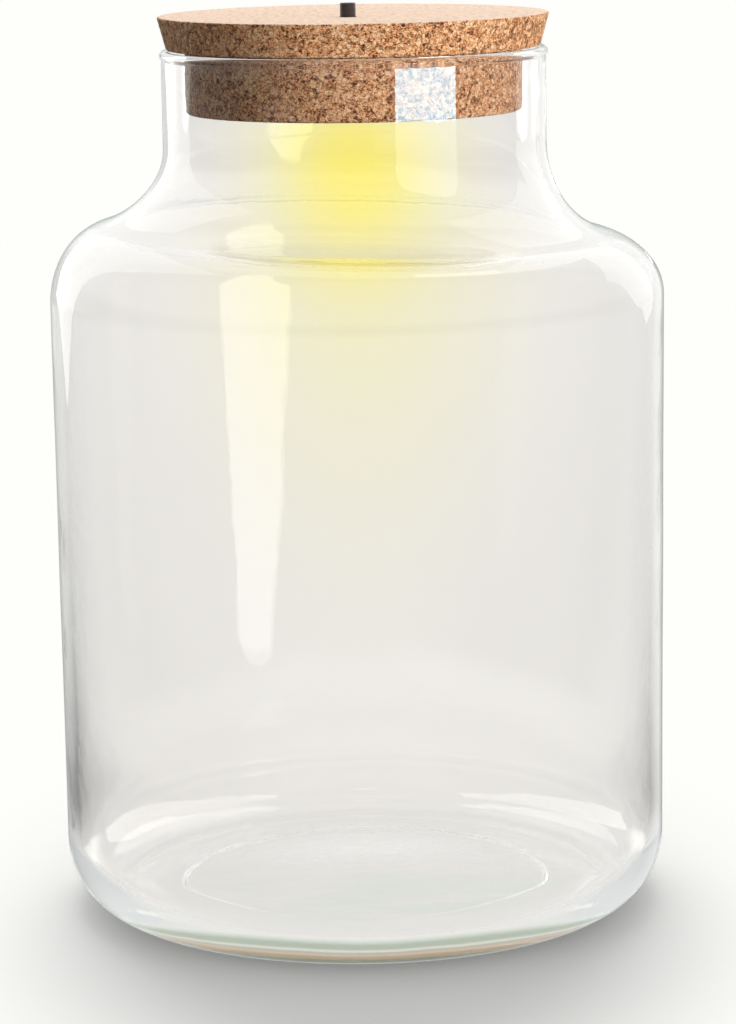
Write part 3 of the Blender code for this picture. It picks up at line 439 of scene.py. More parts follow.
def s_bend(low, high, lower_radius, steps):
    """Two arcs that meet smoothly, from a wall rising at low to a narrower one rising at high."""
    inset = low[0] - high[0]
    rise = high[1] - low[1]
    turn = 2 * atan2(inset, rise)
    upper_radius = rise / sin(turn) - lower_radius
    turn = degrees(turn)
    points = arc((low[0] - lower_radius, low[1]), (lower_radius, lower_radius), 0, turn, steps)
    points += arc((high[0] + upper_radius, high[1]), (upper_radius, upper_radius), 180 + turn, 180, steps)[1:]
    return points


def crown(radius, edge_height, rise, steps):
    """Points from the axis out to radius, on a surface that rises smoothly towards the axis."""
    shares = spread((0, 1), steps)
    return [(radius * share, edge_height + rise * (1 + cos(pi * share)) / 2) for share in shares]


def line(start, end, steps):
    """Evenly spaced points after start, up to and with end."""
    shares = spread((0, 1), steps)[1:]
    return [tuple(low + (high - low) * share for low, high in zip(start, end)) for share in shares]


def new_object(name, data):
    obj = bpy.data.objects.new(name, data)
    bpy.context.scene.collection.objects.link(obj)
    return obj


def round_place(radius, height, angle):
    return (radius * cos(angle), radius * sin(angle), height)


def turned(name, profile, sides, closed=False, place=round_place):
    """A smooth solid of revolution about Z. place gives each point for its radius, height and angle."""
    mesh = bpy.data.meshes.new(name)
    shape = bmesh.new()
    rings = []
    for radius, height in profile:
        if radius < ON_AXIS:
            rings.append([shape.verts.new(place(0.0, height, 0.0))])
            continue
        angles = (2 * pi * side / sides for side in range(sides))
        rings.append([shape.verts.new(place(radius, height, angle)) for angle in angles])
    pairs = list(zip(rings, rings[1:]))
    if closed:
        pairs.append((rings[-1], rings[0]))
    for lower, upper in pairs:
        for side in range(sides):
            following = (side + 1) % sides
            corners = [lower[side % len(lower)], lower[following % len(lower)]]
            corners += [upper[following % len(upper)], upper[side % len(upper)]]
            unique = list(dict.fromkeys(corners))
            if len(unique) > 2:
                shape.faces.new(unique)
    bmesh.ops.recalc_face_normals(shape, faces=shape.faces)
    shape.to_mesh(mesh)
    shape.free()
    mesh.shade_smooth()
    return new_object(name, mesh)


def give(obj, material):
    obj.data.materials.clear()
    obj.data.materials.append(material)


def jar_profile():
    """From the middle of the inner floor, up the inside, over the rim and down the outside."""
    jar_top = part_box("glass_jar")[1].z
    floor_radius = BODY_RADIUS_LOW - HEEL_WALL - INNER_HEEL_WIDTH
    inner_top = (BODY_RADIUS_TOP - BODY_WALL, WALL_TOP)
    inner_neck = NECK_RADIUS - NECK_WALL
    rim_radius = NECK_RADIUS + RIM_SWELL
    rim_half = (rim_radius - inner_neck) / 2
    points = crown(floor_radius, BASE_THICKNESS, FLOOR_CROWN, CURVE_STEPS)
    heel_centre = (floor_radius, BASE_THICKNESS + INNER_HEEL_HEIGHT)
    points += arc(heel_centre, (INNER_HEEL_WIDTH, INNER_HEEL_HEIGHT), -90, 0, CURVE_STEPS)[1:]
    points += line(points[-1], inner_top, CURVE_STEPS)[:-1]
    points += s_bend(inner_top, (inner_neck, THROAT_HEIGHT), SHOULDER_RADIUS - BODY_WALL, CURVE_STEPS)
    points += line(points[-1], (inner_neck, jar_top - rim_half), 5)[:-1]
    points += arc((inner_neck + rim_half, jar_top - rim_half), (rim_half, rim_half), 180, 0, RIM_STEPS)
    bead_low = jar_top - RIM_BEAD_HEIGHT
    turn_swell, turn_height = BEAD_TURN
    bead_turn = (rim_radius - RIM_SWELL * turn_swell, jar_top - RIM_BEAD_HEIGHT * turn_height)
    points += line(points[-1], bead_turn, 3)
    points += [(NECK_RADIUS, bead_low), (NECK_RADIUS, bead_low - BEAD_FOOT)]
    points += line(points[-1], (NECK_RADIUS, THROAT_HEIGHT), 5)[:-1]
    outer = s_bend((BODY_RADIUS_TOP, WALL_TOP), (NECK_RADIUS, THROAT_HEIGHT), SHOULDER_RADIUS, CURVE_STEPS)
    points += reversed(outer)
    heel_radii = (BODY_RADIUS_LOW - FOOT_RADIUS, HEEL_HEIGHT)
    points += line(points[-1], (BODY_RADIUS_LOW, HEEL_HEIGHT), CURVE_STEPS)[:-1]
    points += arc((FOOT_RADIUS, HEEL_HEIGHT), heel_radii, 0, -90, HEEL_STEPS)
    points += line(points[-1], (FOOT_RADIUS - FOOT_RING_WIDTH, 0), 2)[:-1]
    step_width, step_rise = PUNT_STEP
    punt = crown(FOOT_RADIUS - FOOT_RING_WIDTH, 0, PUNT_RISE - step_rise, PUNT_STEPS)
    for radius, height in reversed(punt):
        share = min(max((PUNT_STEP_RADIUS - radius) / step_width, 0.0), 1.0)
        points.append((radius, height + step_rise * (1 - cos(pi * share)) / 2))
    return points


def blown_place(radius, height, angle):
    """A point of the jar, with the slight unevenness of hand-blown glass."""
    low_share = min(max((height - HEEL_HEIGHT) / (WALL_TOP - HEEL_HEIGHT), 0.0), 1.0)
    neck_share = min(max((THROAT_HEIGHT - height) / (THROAT_HEIGHT - WALL_TOP), 0.0), 1.0)
    side = cos(angle)
    ahead = sin(angle)
    spot = Vector((side * BODY_RADIUS_TOP, ahead * BODY_RADIUS_TOP, height)) / WALL_WAVE_SIZE
    wave = noise.noise(spot) * WALL_WAVE * sin(pi * low_share)
    bulge = sin(pi * neck_share) ** 1.5 if height > WALL_TOP else 0.0
    lift = (SHOULDER_RISE - side * SHOULDER_LEAN) * bulge
    return ((radius + wave) * side, (radius + wave) * ahead, height + lift)


def glass_colour(tree, place, path, painted_outline):
    """The tint of the glass: green streaks in the base, painted shade and reflection lines round the foot and
    a painted dark outline.
    """
    apart = add(tree, "SeparateXYZ", {0: place})
    height = apart.outputs["Z"]
    radius = axis_distance(tree, apart)
    drawn_out = {"Vector": place, "Scale": (0.4, 1.0, 1.0), "Rotation": (0.0, 0.0, SWIRL_TURN)}
    drawn = add(tree, "Mapping", drawn_out).outputs[0]
    swirl = remap(tree, noise_value(tree, drawn, SWIRL_SIZE, detail=5.0, roughness=0.62), *SWIRL_LIMITS)
    on_base = times(tree, remap(tree, height, *SWIRL_HEIGHTS), remap(tree, radius, *SWIRL_RADII))
    in_front = remap(tree, apart.outputs["Y"], *SWIRL_FRONT, SWIRL_BACK_SHARE, 1.0, smooth=True)
    streaks = times(tree, swirl, times(tree, on_base, in_front))
    streaked = mix_colour(tree, streaks, GLASS_TINT, BASE_SWIRL)
    slow = noise_value(tree, place, PAINTED_FOOT_LINE_DRIFT_SIZE, detail=3.0)
    drift = remap(tree, slow, 0.2, 0.8, -PAINTED_FOOT_LINE_DRIFT, PAINTED_FOOT_LINE_DRIFT)
    front = maths(tree, "DIVIDE", apart.outputs["Y"], maths(tree, "MAXIMUM", radius, 0.001))
    reach = remap(tree, front, *PAINTED_FOOT_LINE_TURN, PAINTED_FOOT_LINE_BACK_SHARE * PAINTED_FOOT_LINE_HEIGHT, PAINTED_FOOT_LINE_HEIGHT)
    # Painted shade and reflection lines round the foot, seen by camera rays only
    painted_foot_lines = ramp(tree, plus(tree, maths(tree, "DIVIDE", height, reach), drift), PAINTED_FOOT_REFLECTION_TONES)
    on_painted_foot_lines = times(tree, remap(tree, radius, *PAINTED_FOOT_LINE_RADII), path.outputs["Is Camera Ray"])
    colour = mix_colour(tree, on_painted_foot_lines, streaked, painted_foot_lines)
    # Painted dark outline where the wall is seen edge on
    colour = mix_colour(tree, painted_outline, colour, PAINTED_OUTLINE_SHADE)
    turned_often = maths(tree, "GREATER_THAN", path.outputs["Ray Depth"], TINTED_TURNS)
    return mix_colour(tree, turned_often, colour, WHITE)


def clear_glass():
    """Clear glass with a faint green body. Shadow, diffuse and trapped rays go straight through it."""
    material, tree, output = new_material("blown_clear_glass")
    place = object_place(tree)
    slow = noise_value(tree, place, GLASS_WAVE_SIZES[0], detail=2.0)
    fine = noise_value(tree, place, GLASS_WAVE_SIZES[1], detail=3.0)
    waves = plus(tree, slow, times(tree, fine, FINE_WAVE_SHARE))
    smears = noise_value(tree, place, SMEAR_SIZE, detail=6.0)
    roughness = remap(tree, smears, *SMEAR_LIMITS, 0.0, SMEAR_ROUGHNESS)
    path = add(tree, "LightPath")
    # A painted dark outline where the wall is seen edge on, for camera rays only
    facing = add(tree, "LayerWeight", {"Blend": 0.5}).outputs["Facing"]
    painted_outline = times(tree, remap(tree, facing, *PAINTED_OUTLINE_FACING), path.outputs["Is Camera Ray"])
    glass = add(
        tree, "BsdfPrincipled",
        {"Base Color": glass_colour(tree, place, path, painted_outline), "Roughness": roughness, "IOR": GLASS_IOR,
         "Transmission Weight": 1.0, "Normal": bump(tree, waves, GLASS_WAVE_DEPTH)},
    )
    painted_outline_shader = add(tree, "BsdfTransparent", {"Color": (*PAINTED_OUTLINE_SHADE, 1.0)})
    painted_outline_mix_share = times(tree, painted_outline, PAINTED_OUTLINE_SHARE)
    glass_with_painted_outline = add(tree, "MixShader", {0: painted_outline_mix_share, 1: glass.outputs[0], 2: painted_outline_shader.outputs[0]})
    top = SHADOW_TINTS[-1][0]
    share = maths(tree, "DIVIDE", add(tree, "SeparateXYZ", {0: place}).outputs["Z"], top)
    tint = ramp(tree, share, [(level / top, grey(value)) for level, value in SHADOW_TINTS])
    trapped = maths(tree, "GREATER_THAN", path.outputs["Ray Depth"], DEEP_TURNS)
    through = add(tree, "BsdfTransparent", {"Color": mix_colour(tree, trapped, tint, WHITE)})
    soft = maths(tree, "MAXIMUM", path.outputs["Is Shadow Ray"], path.outputs["Is Diffuse Ray"])
    straight = maths(tree, "MAXIMUM", soft, trapped)
    shader = add(tree, "MixShader", {0: straight, 1: glass_with_painted_outline.outputs[0], 2: through.outputs[0]})
    body = add(tree, "VolumeAbsorption", {"Color": (*GLASS_BODY, 1.0), "Density": GLASS_BODY_DENSITY})
    tree.links.new(body.outputs[0], output.inputs["Volume"])
    return surfaced(material, output, shader)


def make_jar():
    jar = turned("blown_jar", jar_profile(), JAR_SIDES, place=blown_place)
    give(jar, clear_glass())
    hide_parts("glass_jar")
    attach(jar, "jar")


def stretched_noise(tree, place, turn, size, stretch):
    """Noise in streaks along one direction, as in bark fibres."""
    spun = {"Vector": place, "Rotation": turn, "Scale": (1.0, stretch, stretch)}
    return noise_value(tree, add(tree, "Mapping", spun).outputs[0], size, detail=3.0, roughness=0.6)


def cork_material():
    """Pressed cork granules of several browns, with dark flecks, paler on top, where it is sanded and where
    light from above is painted in.
    """
    material, tree, output = new_material("pressed_cork")
    place = object_place(tree)
    wobble = add(tree, "TexNoise", {"Vector": place, "Scale": 1.0 / BEND_SIZE, "Detail": 2.0})
    shift = add(tree, "VectorMath", {0: wobble.outputs["Color"], 1: (0.5, 0.5, 0.5)}, operation="SUBTRACT")
    push = add(tree, "VectorMath", {0: shift.outputs[0], "Scale": BEND_REACH}, operation="SCALE")
    bent = add(tree, "VectorMath", {0: place, 1: push.outputs[0]}, operation="ADD").outputs[0]
    cells = {"Vector": bent, "Scale": 1.0 / CORK_GRAIN}
    granules = add(tree, "TexVoronoi", {**cells, "Randomness": 1.0})
    edges = add(tree, "TexVoronoi", cells, feature="DISTANCE_TO_EDGE").outputs["Distance"]
    crumbs = add(tree, "TexVoronoi", {"Vector": bent, "Scale": CRUMBS_PER_GRAIN / CORK_GRAIN})
    apart = add(tree, "SeparateColor", {"Color": granules.outputs["Color"]})
    pick = apart.outputs[0]
    way = apart.outputs[1]
    crumb_pick = add(tree, "SeparateColor", {"Color": crumbs.outputs["Color"]}).outputs[1]
    fibres = [stretched_noise(tree, place, turn, FIBRE_SIZE, FIBRE_STRETCH) for turn in FIBRE_TURNS]
    first, second = (maths(tree, "GREATER_THAN", way, limit) for limit in FIBRE_PICKS)
    along = add(tree, "Mix", {0: first, 2: fibres[0], 3: fibres[1]}, data_type="FLOAT").outputs[0]
    fibre = add(tree, "Mix", {0: second, 2: along, 3: fibres[2]}, data_type="FLOAT").outputs[0]
    streak = remap(tree, fibre, 0.32, 0.68)
    parts = zip((pick, crumb_pick, streak), CORK_SHARES)
    first, second, third = (times(tree, part, share) for part, share in parts)
    tone = ramp(tree, plus(tree, plus(tree, first, second), third), CORK_TONES)
    seams = remap(tree, edges, 0.0, SEAM_WIDTH, SEAM_SHADE, 1.0)
    grit = remap(tree, noise_value(tree, place, GRIT_SIZE, detail=4.0, roughness=0.7), 0.3, 0.7, *GRIT_SHADES)
    shade = times(tree, seams, grit)
    scaled = add(tree, "VectorMath", {0: tone, "Scale": shade}, operation="SCALE").outputs[0]
    flecks = remap(tree, noise_value(tree, place, FLECK_SIZE, detail=5.0, roughness=0.65), *FLECK_LIMITS)
    browned = mix_colour(tree, flecks, scaled, FLECK_COLOUR)
    # Faces that look up get the paler tone: sanded cork and painted top light
    upward = add(tree, "SeparateXYZ", {0: add(tree, "NewGeometry").outputs["Normal"]}).outputs["Z"]
    sanded_and_top_lit = times(tree, remap(tree, upward, 0.80, 0.98), TOP_LIT_SANDED_SHARE)
    top_lit_sanded_tone = ramp(tree, noise_value(tree, place, SANDED_SPECK_SIZE, detail=6.0, roughness=0.75), TOP_LIT_SANDED_TONES)
    relief = plus(tree, plus(tree, seams, streak), times(tree, grit, 0.5))
    depth = remap(tree, sanded_and_top_lit, 0.0, TOP_LIT_SANDED_SHARE, *CORK_BUMPS)
    shader = add(
        tree, "BsdfPrincipled",
        {"Base Color": mix_colour(tree, sanded_and_top_lit, browned, top_lit_sanded_tone), "IOR": 1.35,
         "Roughness": remap(tree, grit, 0.6, 1.3, 0.92, 0.70), "Normal": bump(tree, relief, depth)},
    )
    return surfaced(material, output, shader)


def rough_place(radius, height, angle):
    """A point of the cork's surface, with granules torn out here and there."""
    point = Vector((radius * cos(angle), radius * sin(angle), height))
    outward = Vector((cos(angle), sin(angle), 0))
    torn = noise.noise(point / TORN_SIZES[0]) * 0.6 + noise.noise(point / TORN_SIZES[1]) * 0.4
    pitted = max(noise.noise(point / PIT_SIZE) - PIT_LIMIT, 0.0) * PIT_DEPTH
    return point - outward * (CORK_ROUGHNESS_DEPTH * (1.0 + torn + pitted))


def drill(obj, radius, low, high, place):
    """Bores a round hole along Z through the piece."""
    cutter = turned("bore_cutter", [(0, low), (radius, low), (radius, high), (0, high)], BORE_SIDES)
    cutter.location = (place[0], place[1], 0)
    bore = obj.modifiers.new("Bore", "BOOLEAN")
    bore.operation = "DIFFERENCE"
    bore.solver = "EXACT"
    bore.object = cutter
    bpy.context.view_layer.update()
    graph = bpy.context.evaluated_depsgraph_get()
    mesh = bpy.data.meshes.new_from_object(obj.evaluated_get(graph))
    obj.modifiers.clear()
    obj.data = mesh
    bpy.data.objects.remove(cutter, do_unlink=True)


def make_lid(cork):
    """The cork disc, with the bore for the push button."""
    lid_low, lid_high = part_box("cork_lid")
    button_low, button_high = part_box("switch_button")
    edge = (LID_EDGE_ROUND, LID_EDGE_ROUND)
    top_centre = (lid_high.x - LID_EDGE_ROUND, lid_high.z - LID_EDGE_ROUND)
    low_centre = (LID_RADIUS_LOW - LID_EDGE_ROUND, lid_low.z + LID_EDGE_ROUND)
    profile = [(0, lid_high.z)] + line((0, lid_high.z), (top_centre[0], lid_high.z), 30)[:-1]
    profile += arc(top_centre, edge, 90, 0, 5)
    profile += line(profile[-1], (LID_RADIUS_LOW, low_centre[1]), 30)[:-1]
    profile += arc(low_centre, edge, 0, -90, 5)
    profile += line(profile[-1], (0, lid_low.z), 20)
    lid = turned("cork_disc", profile, CORK_SIDES, place=rough_place)
    button_place = (button_low + button_high) / 2
    drill(lid, BORE_RADIUS, lid_low.z - BORE_OVERRUN, lid_high.z + BORE_OVERRUN, button_place)
    give(lid, cork)
    lid.data.shade_smooth()
    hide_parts("cork_lid")
    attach(lid, "stopper")


def make_plug(cork):
    """The cork ring in the neck, with the seat and the pocket for the lamp housing."""
    plug_low, plug_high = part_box("cork_plug")
    flange_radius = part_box("lamp_housing")[1].x + PLUG_FLANGE_GAP
    seat = plug_low.z + POCKET_SEAT
    edge = (PLUG_EDGE_ROUND, PLUG_EDGE_ROUND)
    inner = plug_high.x - PLUG_EDGE_ROUND
    profile = arc((inner, plug_high.z - PLUG_EDGE_ROUND), edge, 90, 0, 5)
    profile += line(profile[-1], (plug_high.x, plug_low.z + PLUG_EDGE_ROUND), 44)[:-1]
    profile += arc((inner, plug_low.z + PLUG_EDGE_ROUND), edge, 0, -90, 5)
    profile += line(profile[-1], (flange_radius, plug_low.z), 10)
    profile += line(profile[-1], (flange_radius, seat), 5)
    profile += line(profile[-1], (POCKET_RADIUS, seat), 8)
    profile += line(profile[-1], (POCKET_RADIUS, plug_high.z), 20)
    profile += line(profile[-1], profile[0], 12)[:-1]
    plug = turned("cork_ring", profile, CORK_SIDES, closed=True, place=rough_place)
    give(plug, cork)
    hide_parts("cork_plug")
    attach(plug, "stopper")


def black_gloss():
    material, tree, output = new_material("button_black")
    place = object_place(tree)
    tones = [(0.3, (0.016, 0.011, 0.010)), (0.7, (0.030, 0.022, 0.019))]
    tone = ramp(tree, noise_value(tree, place, 0.0008), tones)
    roughness = remap(tree, noise_value(tree, place, 0.0003, detail=6.0), 0.3, 0.7, 0.28, 0.42)
    shader = add(tree, "BsdfPrincipled", {"Base Color": tone, "Roughness": roughness, "IOR": 1.5})
    return surfaced(material, output, shader)


def make_button():
    low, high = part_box("switch_button")
    centre = (low + high) / 2
    radius = BUTTON_RADIUS
    lid_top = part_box("cork_lid")[1].z
    shaft_end, flange_top, flange_low, stem_top = (lid_top - depth for depth in BUTTON_DEPTHS)
    profile = [(0, high.z - BUTTON_DISH), (radius * 0.5, high.z - BUTTON_DISH * 0.8), (radius * 0.75, high.z)]
    profile += arc((radius - BUTTON_EDGE, high.z - BUTTON_EDGE), (BUTTON_EDGE, BUTTON_EDGE), 90, 0, 6)
    profile += line(profile[-1], (radius, shaft_end), 6)
    profile += [(BUTTON_FLANGE_RADIUS, flange_top), (BUTTON_FLANGE_RADIUS, flange_low)]
    profile += [(BUTTON_STEM_RADIUS, stem_top), (BUTTON_STEM_RADIUS, low.z), (0, low.z)]
    cap = turned("push_cap", profile, BUTTON_SIDES)
    cap.data.transform(Matrix.Translation((centre.x, centre.y, 0)))
    cap.data.set_sharp_from_angle(angle=radians(50))
    give(cap, black_gloss())
    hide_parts("switch_button")
    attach(cap, "button")


def shades(colour, share, low, high):
    """Ramp stops from a darker share of colour up to colour."""
    return [(low, tuple(channel * share for channel in colour)), (high, colour)]


def textured(name, speck, tones, roughness, depth, detail=3.0, stretch=None, drift=None, extra=None):
    """A finish whose tone, roughness and relief follow one noise. Given drift, the tone has a slower one."""
    material, tree, output = new_material(name)
    place = object_place(tree)
    if stretch:
        place = add(tree, "Mapping", {"Vector": place, "Scale": (1.0, 1.0, stretch)}).outputs[0]
    texture = noise_value(tree, place, speck, detail=detail)
    tone = noise_value(tree, place, drift, detail=3.0) if drift else texture
    inputs = {"Base Color": ramp(tree, tone, tones), "Roughness": remap(tree, texture, 0.3, 0.7, *roughness)}
    inputs["Normal"] = bump(tree, texture, depth)
    return surfaced(material, output, add(tree, "BsdfPrincipled", {**inputs, **(extra or {})}))


def moulded(name, colour, roughness, speck):
    """Moulded plastic: a slight drift of tone and a fine texture."""
    tones = shades(colour, 0.86, 0.30, 0.65)
    ends = (roughness - 0.06, roughness + 0.08)
    return textured(name, speck, tones, ends, 0.00003, drift=0.012, extra={"IOR": 1.5})


def brushed_metal(name, colour, roughness, speck):
    tones = shades(colour, 0.72, 0.25, 0.60)
    ends = (roughness - 0.05, roughness + 0.12)
    return textured(name, speck, tones, ends, 0.00001, detail=5.0, stretch=6.0, extra={"Metallic": 1.0})


def glowing(name, colour, light, strength, roughness, speck):
    """A lit translucent plastic: its own colour with a slight mottle plus an even light."""
    tones = shades(colour, 0.9, 0.3, 0.7)
    ends = (roughness - 0.05, roughness + 0.08)
    lit = {"Emission Color": (*light, 1.0), "Emission Strength": strength}
    return textured(name, speck, tones, ends, 0.00003, extra=lit)


def cell_film():
    """The plain green film on a cell."""
    tones = [(0.30, (0.030, 0.110, 0.090)), (0.65, (0.055, 0.180, 0.145))]
    return textured("cell_film", 0.0015, tones, (0.26, 0.38), 0.00002, detail=5.0, extra={"Metallic": 0.25})


def dress_nodes():
    """Gives every CAD node that stays its finish."""
    white = moulded("white_plastic_fine", (0.80, 0.80, 0.77), 0.46, 0.0007)
    black = moulded("black_plastic_fine", (0.020, 0.020, 0.021), 0.40, 0.0006)
    steel = brushed_metal("nickel_plated_steel", (0.72, 0.71, 0.69), 0.26, 0.0009)
    silver = brushed_metal("silvered_bowl", (0.90, 0.90, 0.88), 0.12, 0.0030)
    lens = glowing("frosted_lens_lit", (0.95, 0.90, 0.66), (1.0, 0.82, 0.30), 1.6, 0.42, 0.0012)
    phosphor = glowing("phosphor_lit", (0.95, 0.80, 0.25), (1.0, 0.84, 0.32), 4.0, 0.40, 0.0005)
    board = moulded("board_white_lacquer", (0.82, 0.83, 0.80), 0.30, 0.0010)
    red = moulded("red_wire_cover", (0.52, 0.030, 0.022), 0.36, 0.0009)
    dark_wire = moulded("black_wire_cover", (0.022, 0.021, 0.021), 0.36, 0.0009)
    film = cell_film()
    finishes = {
        "lamp_housing": white, "battery_cover": white, "lamp_lens": lens, "reflector": silver,
        "switch_body": black, "resistor": black, "led_board": board, "black_wire": dark_wire,
        "red_wire": red, "switch_wire": red, "link_wire_1": red, "link_wire_2": red,
    }
    starts = {"battery_cell": film, "led_": phosphor}
    for name, node in NODES.items():
        finish = finishes.get(name)
        if finish is None:
            finish = next((value for start, value in starts.items() if name.startswith(start)), steel)
        for place in node.material_slots:
            place.material = finish


def glow_density(tree, apart, radius, stretch, power, peak):
    """The density of a soft cloud, stretched downwards. The higher the power, the sharper its edge."""
    lowered = maths(tree, "DIVIDE", maths(tree, "MINIMUM", apart.outputs["Z"], 0.0), stretch)
    raised = maths(tree, "MAXIMUM", apart.outputs["Z"], 0.0)
    height = plus(tree, lowered, raised)
    joined = add(tree, "CombineXYZ", {"X": apart.outputs["X"], "Y": apart.outputs["Y"], "Z": height})
    distance = length(tree, joined.outputs[0])
    share = maths(tree, "POWER", maths(tree, "DIVIDE", distance, radius), power)
    return times(tree, maths(tree, "EXPONENT", times(tree, share, -1.0)), peak)


def glow_material():
    """Lit haze: it takes blue out of what is seen through it and adds a little warm light."""
    material, tree, output = new_material("lamp_glow")
    apart = add(tree, "SeparateXYZ", {0: object_place(tree)})
    across = axis_distance(tree, apart)
    room = remap(tree, apart.outputs["Z"], *GLOW_SHOULDER, GLOW_BODY_RADIUS, GLOW_NECK_RADIUS, smooth=True)
    fade = remap(tree, maths(tree, "DIVIDE", across, room), GLOW_FADE, 1.0, 1.0, 0.0, smooth=True)
    core = glow_density(tree, apart, **GLOW_CORE)
    halo = glow_density(tree, apart, **GLOW_HALO)
    density = times(tree, plus(tree, core, halo), fade)
    haze = add(tree, "VolumeAbsorption", {"Color": (*GLOW_COLOUR, 1.0), "Density": density})
    strength = times(tree, density, GLOW_RED)
    light = add(tree, "Emission", {"Color": (1.0, GLOW_GREEN_SHARE, 0.0, 1.0), "Strength": strength})
    both = add(tree, "AddShader", {0: haze.outputs[0], 1: light.outputs[0]})
    tree.links.new(both.outputs[0], output.inputs["Volume"])
    return material


def make_glow():
    """The halo of light under the stopper. It is light, not a piece of the object."""
    profile = [(GLOW_NECK_RADIUS * share, height) for share, height in GLOW_NECK_OUTLINE]
    profile += [(GLOW_BODY_RADIUS * share, height) for share, height in GLOW_BODY_OUTLINE]
    glow = turned("lamp_glow", profile, GLOW_SIDES)
    give(glow, glow_material())
    glow.location = GLOW_CENTRE
    glow.visible_shadow = False
    glow.visible_diffuse = False
    glow.parent = BODIES["stopper"]
    glow.matrix_parent_inverse = BODIES["stopper"].matrix_world.inverted()


def floor_material():
    """Pale floor that keeps the jar's soft shadow and fades into the background further out.

    Light that crosses the glass sees it dimmer in front of and beside the jar, where the studio is dark.
    """
    material, tree, output = new_material("pale_floor")
    place = object_place(tree)
    distance = length(tree, place)
    narrow = {0: place, 1: (SHADOW_NARROWED, 1.0, 1.0)}
    narrowed = add(tree, "VectorMath", narrow, operation="MULTIPLY").outputs[0]
    far = remap(tree, length(tree, narrowed), *SHADOW_FADE, smooth=True)
    dust = remap(tree, noise_value(tree, place, DUST_SIZE, detail=3.0), 0.2, 0.8, 0.985, 1.0)
    lit = add(tree, "BsdfDiffuse", {"Color": mix_colour(tree, dust, *FLOOR_TONES)})
    fill = add(tree, "Emission", {"Color": (*BACKGROUND, 1.0), "Strength": FLOOR_LIFT})
    near = add(tree, "AddShader", {0: lit.outputs[0], 1: fill.outputs[0]})
    path = add(tree, "LightPath")
    through = path.outputs["Is Transmission Ray"]
    round_angle = angle_from_front(tree, add(tree, "SeparateXYZ", {0: place}))
    close = turned_level(tree, round_angle, THROUGH_TURNS, FLOOR_THROUGH_NEAR)
    distant = turned_level(tree, round_angle, THROUGH_TURNS, FLOOR_THROUGH_FAR)
    beside = mix_colour(tree, remap(tree, distance, *FLOOR_THROUGH_FADE), close, distant)
    outside = remap(tree, distance, *UNDER_JAR_FADE, smooth=True)
    dimmed = mix_colour(tree, outside, grey(UNDER_JAR_LEVEL), beside)
    deep = maths(tree, "GREATER_THAN", path.outputs["Ray Depth"], DEEP_TURNS)
    dimmed = mix_colour(tree, deep, dimmed, grey(DEEP_LEVEL))
    level = mix_colour(tree, through, WHITE, dimmed)
    colour = mix_colour(tree, 1.0, level, BACKGROUND, blend="MULTIPLY")
    plain = add(tree, "Emission", {"Color": colour, "Strength": 1.0})
    clean = maths(tree, "MAXIMUM", far, times(tree, through, THROUGH_SHARE))
    even = add(tree, "MixShader", {0: clean, 1: near.outputs[0], 2: plain.outputs[0]})
    bounce = add(tree, "BsdfDiffuse", {"Color": (*FLOOR_BOUNCE, 1.0)})
    bounced = path.outputs["Is Diffuse Ray"]
    shader = add(tree, "MixShader", {0: bounced, 1: even.outputs[0], 2: bounce.outputs[0]})
    return surfaced(material, output, shader)


def make_floor():
    mesh = bpy.data.meshes.new("floor")
    half = FLOOR_SIZE / 2
    corners = [(-half, -half, 0), (half, -half, 0), (half, half, 0), (-half, half, 0)]
    mesh.from_pydata(corners, [], [(0, 1, 2, 3)])
    floor = new_object("floor", mesh)
    give(floor, floor_material())
    floor.location.z = -FLOOR_DROP
    floor.visible_glossy = False


def reflected_room(tree):
    """What reflections see: the white sweep behind, the pale floor and a dimmer room in front and beside.

    The second output is the same room as light that crossed glass sees it, with more of the white sweep.
    """
    way = add(tree, "SeparateXYZ", {0: add(tree, "TexCoord").outputs["Generated"]})
    turn = angle_from_front(tree, way)
    rise = maths(tree, "DEGREES", maths(tree, "ARCSINE", way.outputs["Z"]))
    upper = turned_level(tree, turn, UPPER_TURNS, UPPER_ROOM)
    eye, far, near = (
        turned_level(tree, turn, LOWER_TURNS, levels) for levels in (EYE_ROOM, FAR_FLOOR, NEAR_FLOOR)
    )
    room = mix_colour(tree, remap(tree, rise, *EYE_RISE, smooth=True), upper, eye)
    room = mix_colour(tree, remap(tree, rise, *FAR_FLOOR_RISE, smooth=True), room, far)
    room = mix_colour(tree, remap(tree, rise, *NEAR_FLOOR_RISE), room, near)
    steep = remap(tree, rise, *STEEP_FLOOR_RISE, smooth=True)
    room = mix_colour(tree, steep, room, grey(STEEP_FLOOR_LEVEL))
    behind = remap(tree, maths(tree, "ABSOLUTE", turn), *BEHIND_TURN, smooth=True)
    return room, mix_colour(tree, behind, room, BACKGROUND)


def make_world():
    """White behind the object, for the camera and through glass, and a plain dim dome for the rest."""
    world = bpy.data.worlds.new("studio")
    bpy.context.scene.world = world
    world.use_nodes = True
    tree = world.node_tree
    tree.nodes.clear()
    path = add(tree, "LightPath")
    room, room_through = reflected_room(tree)
    mirrored = mix_colour(tree, path.outputs["Is Glossy Ray"], grey(DOME_LEVEL), room)
    through = mix_colour(tree, path.outputs["Is Transmission Ray"], mirrored, room_through)
    colour = mix_colour(tree, path.outputs["Is Camera Ray"], through, BACKGROUND)
    background = add(tree, "Background", {"Color": colour, "Strength": 1.0})
    output = tree.nodes.new("ShaderNodeOutputWorld")
    tree.links.new(background.outputs[0], output.inputs["Surface"])


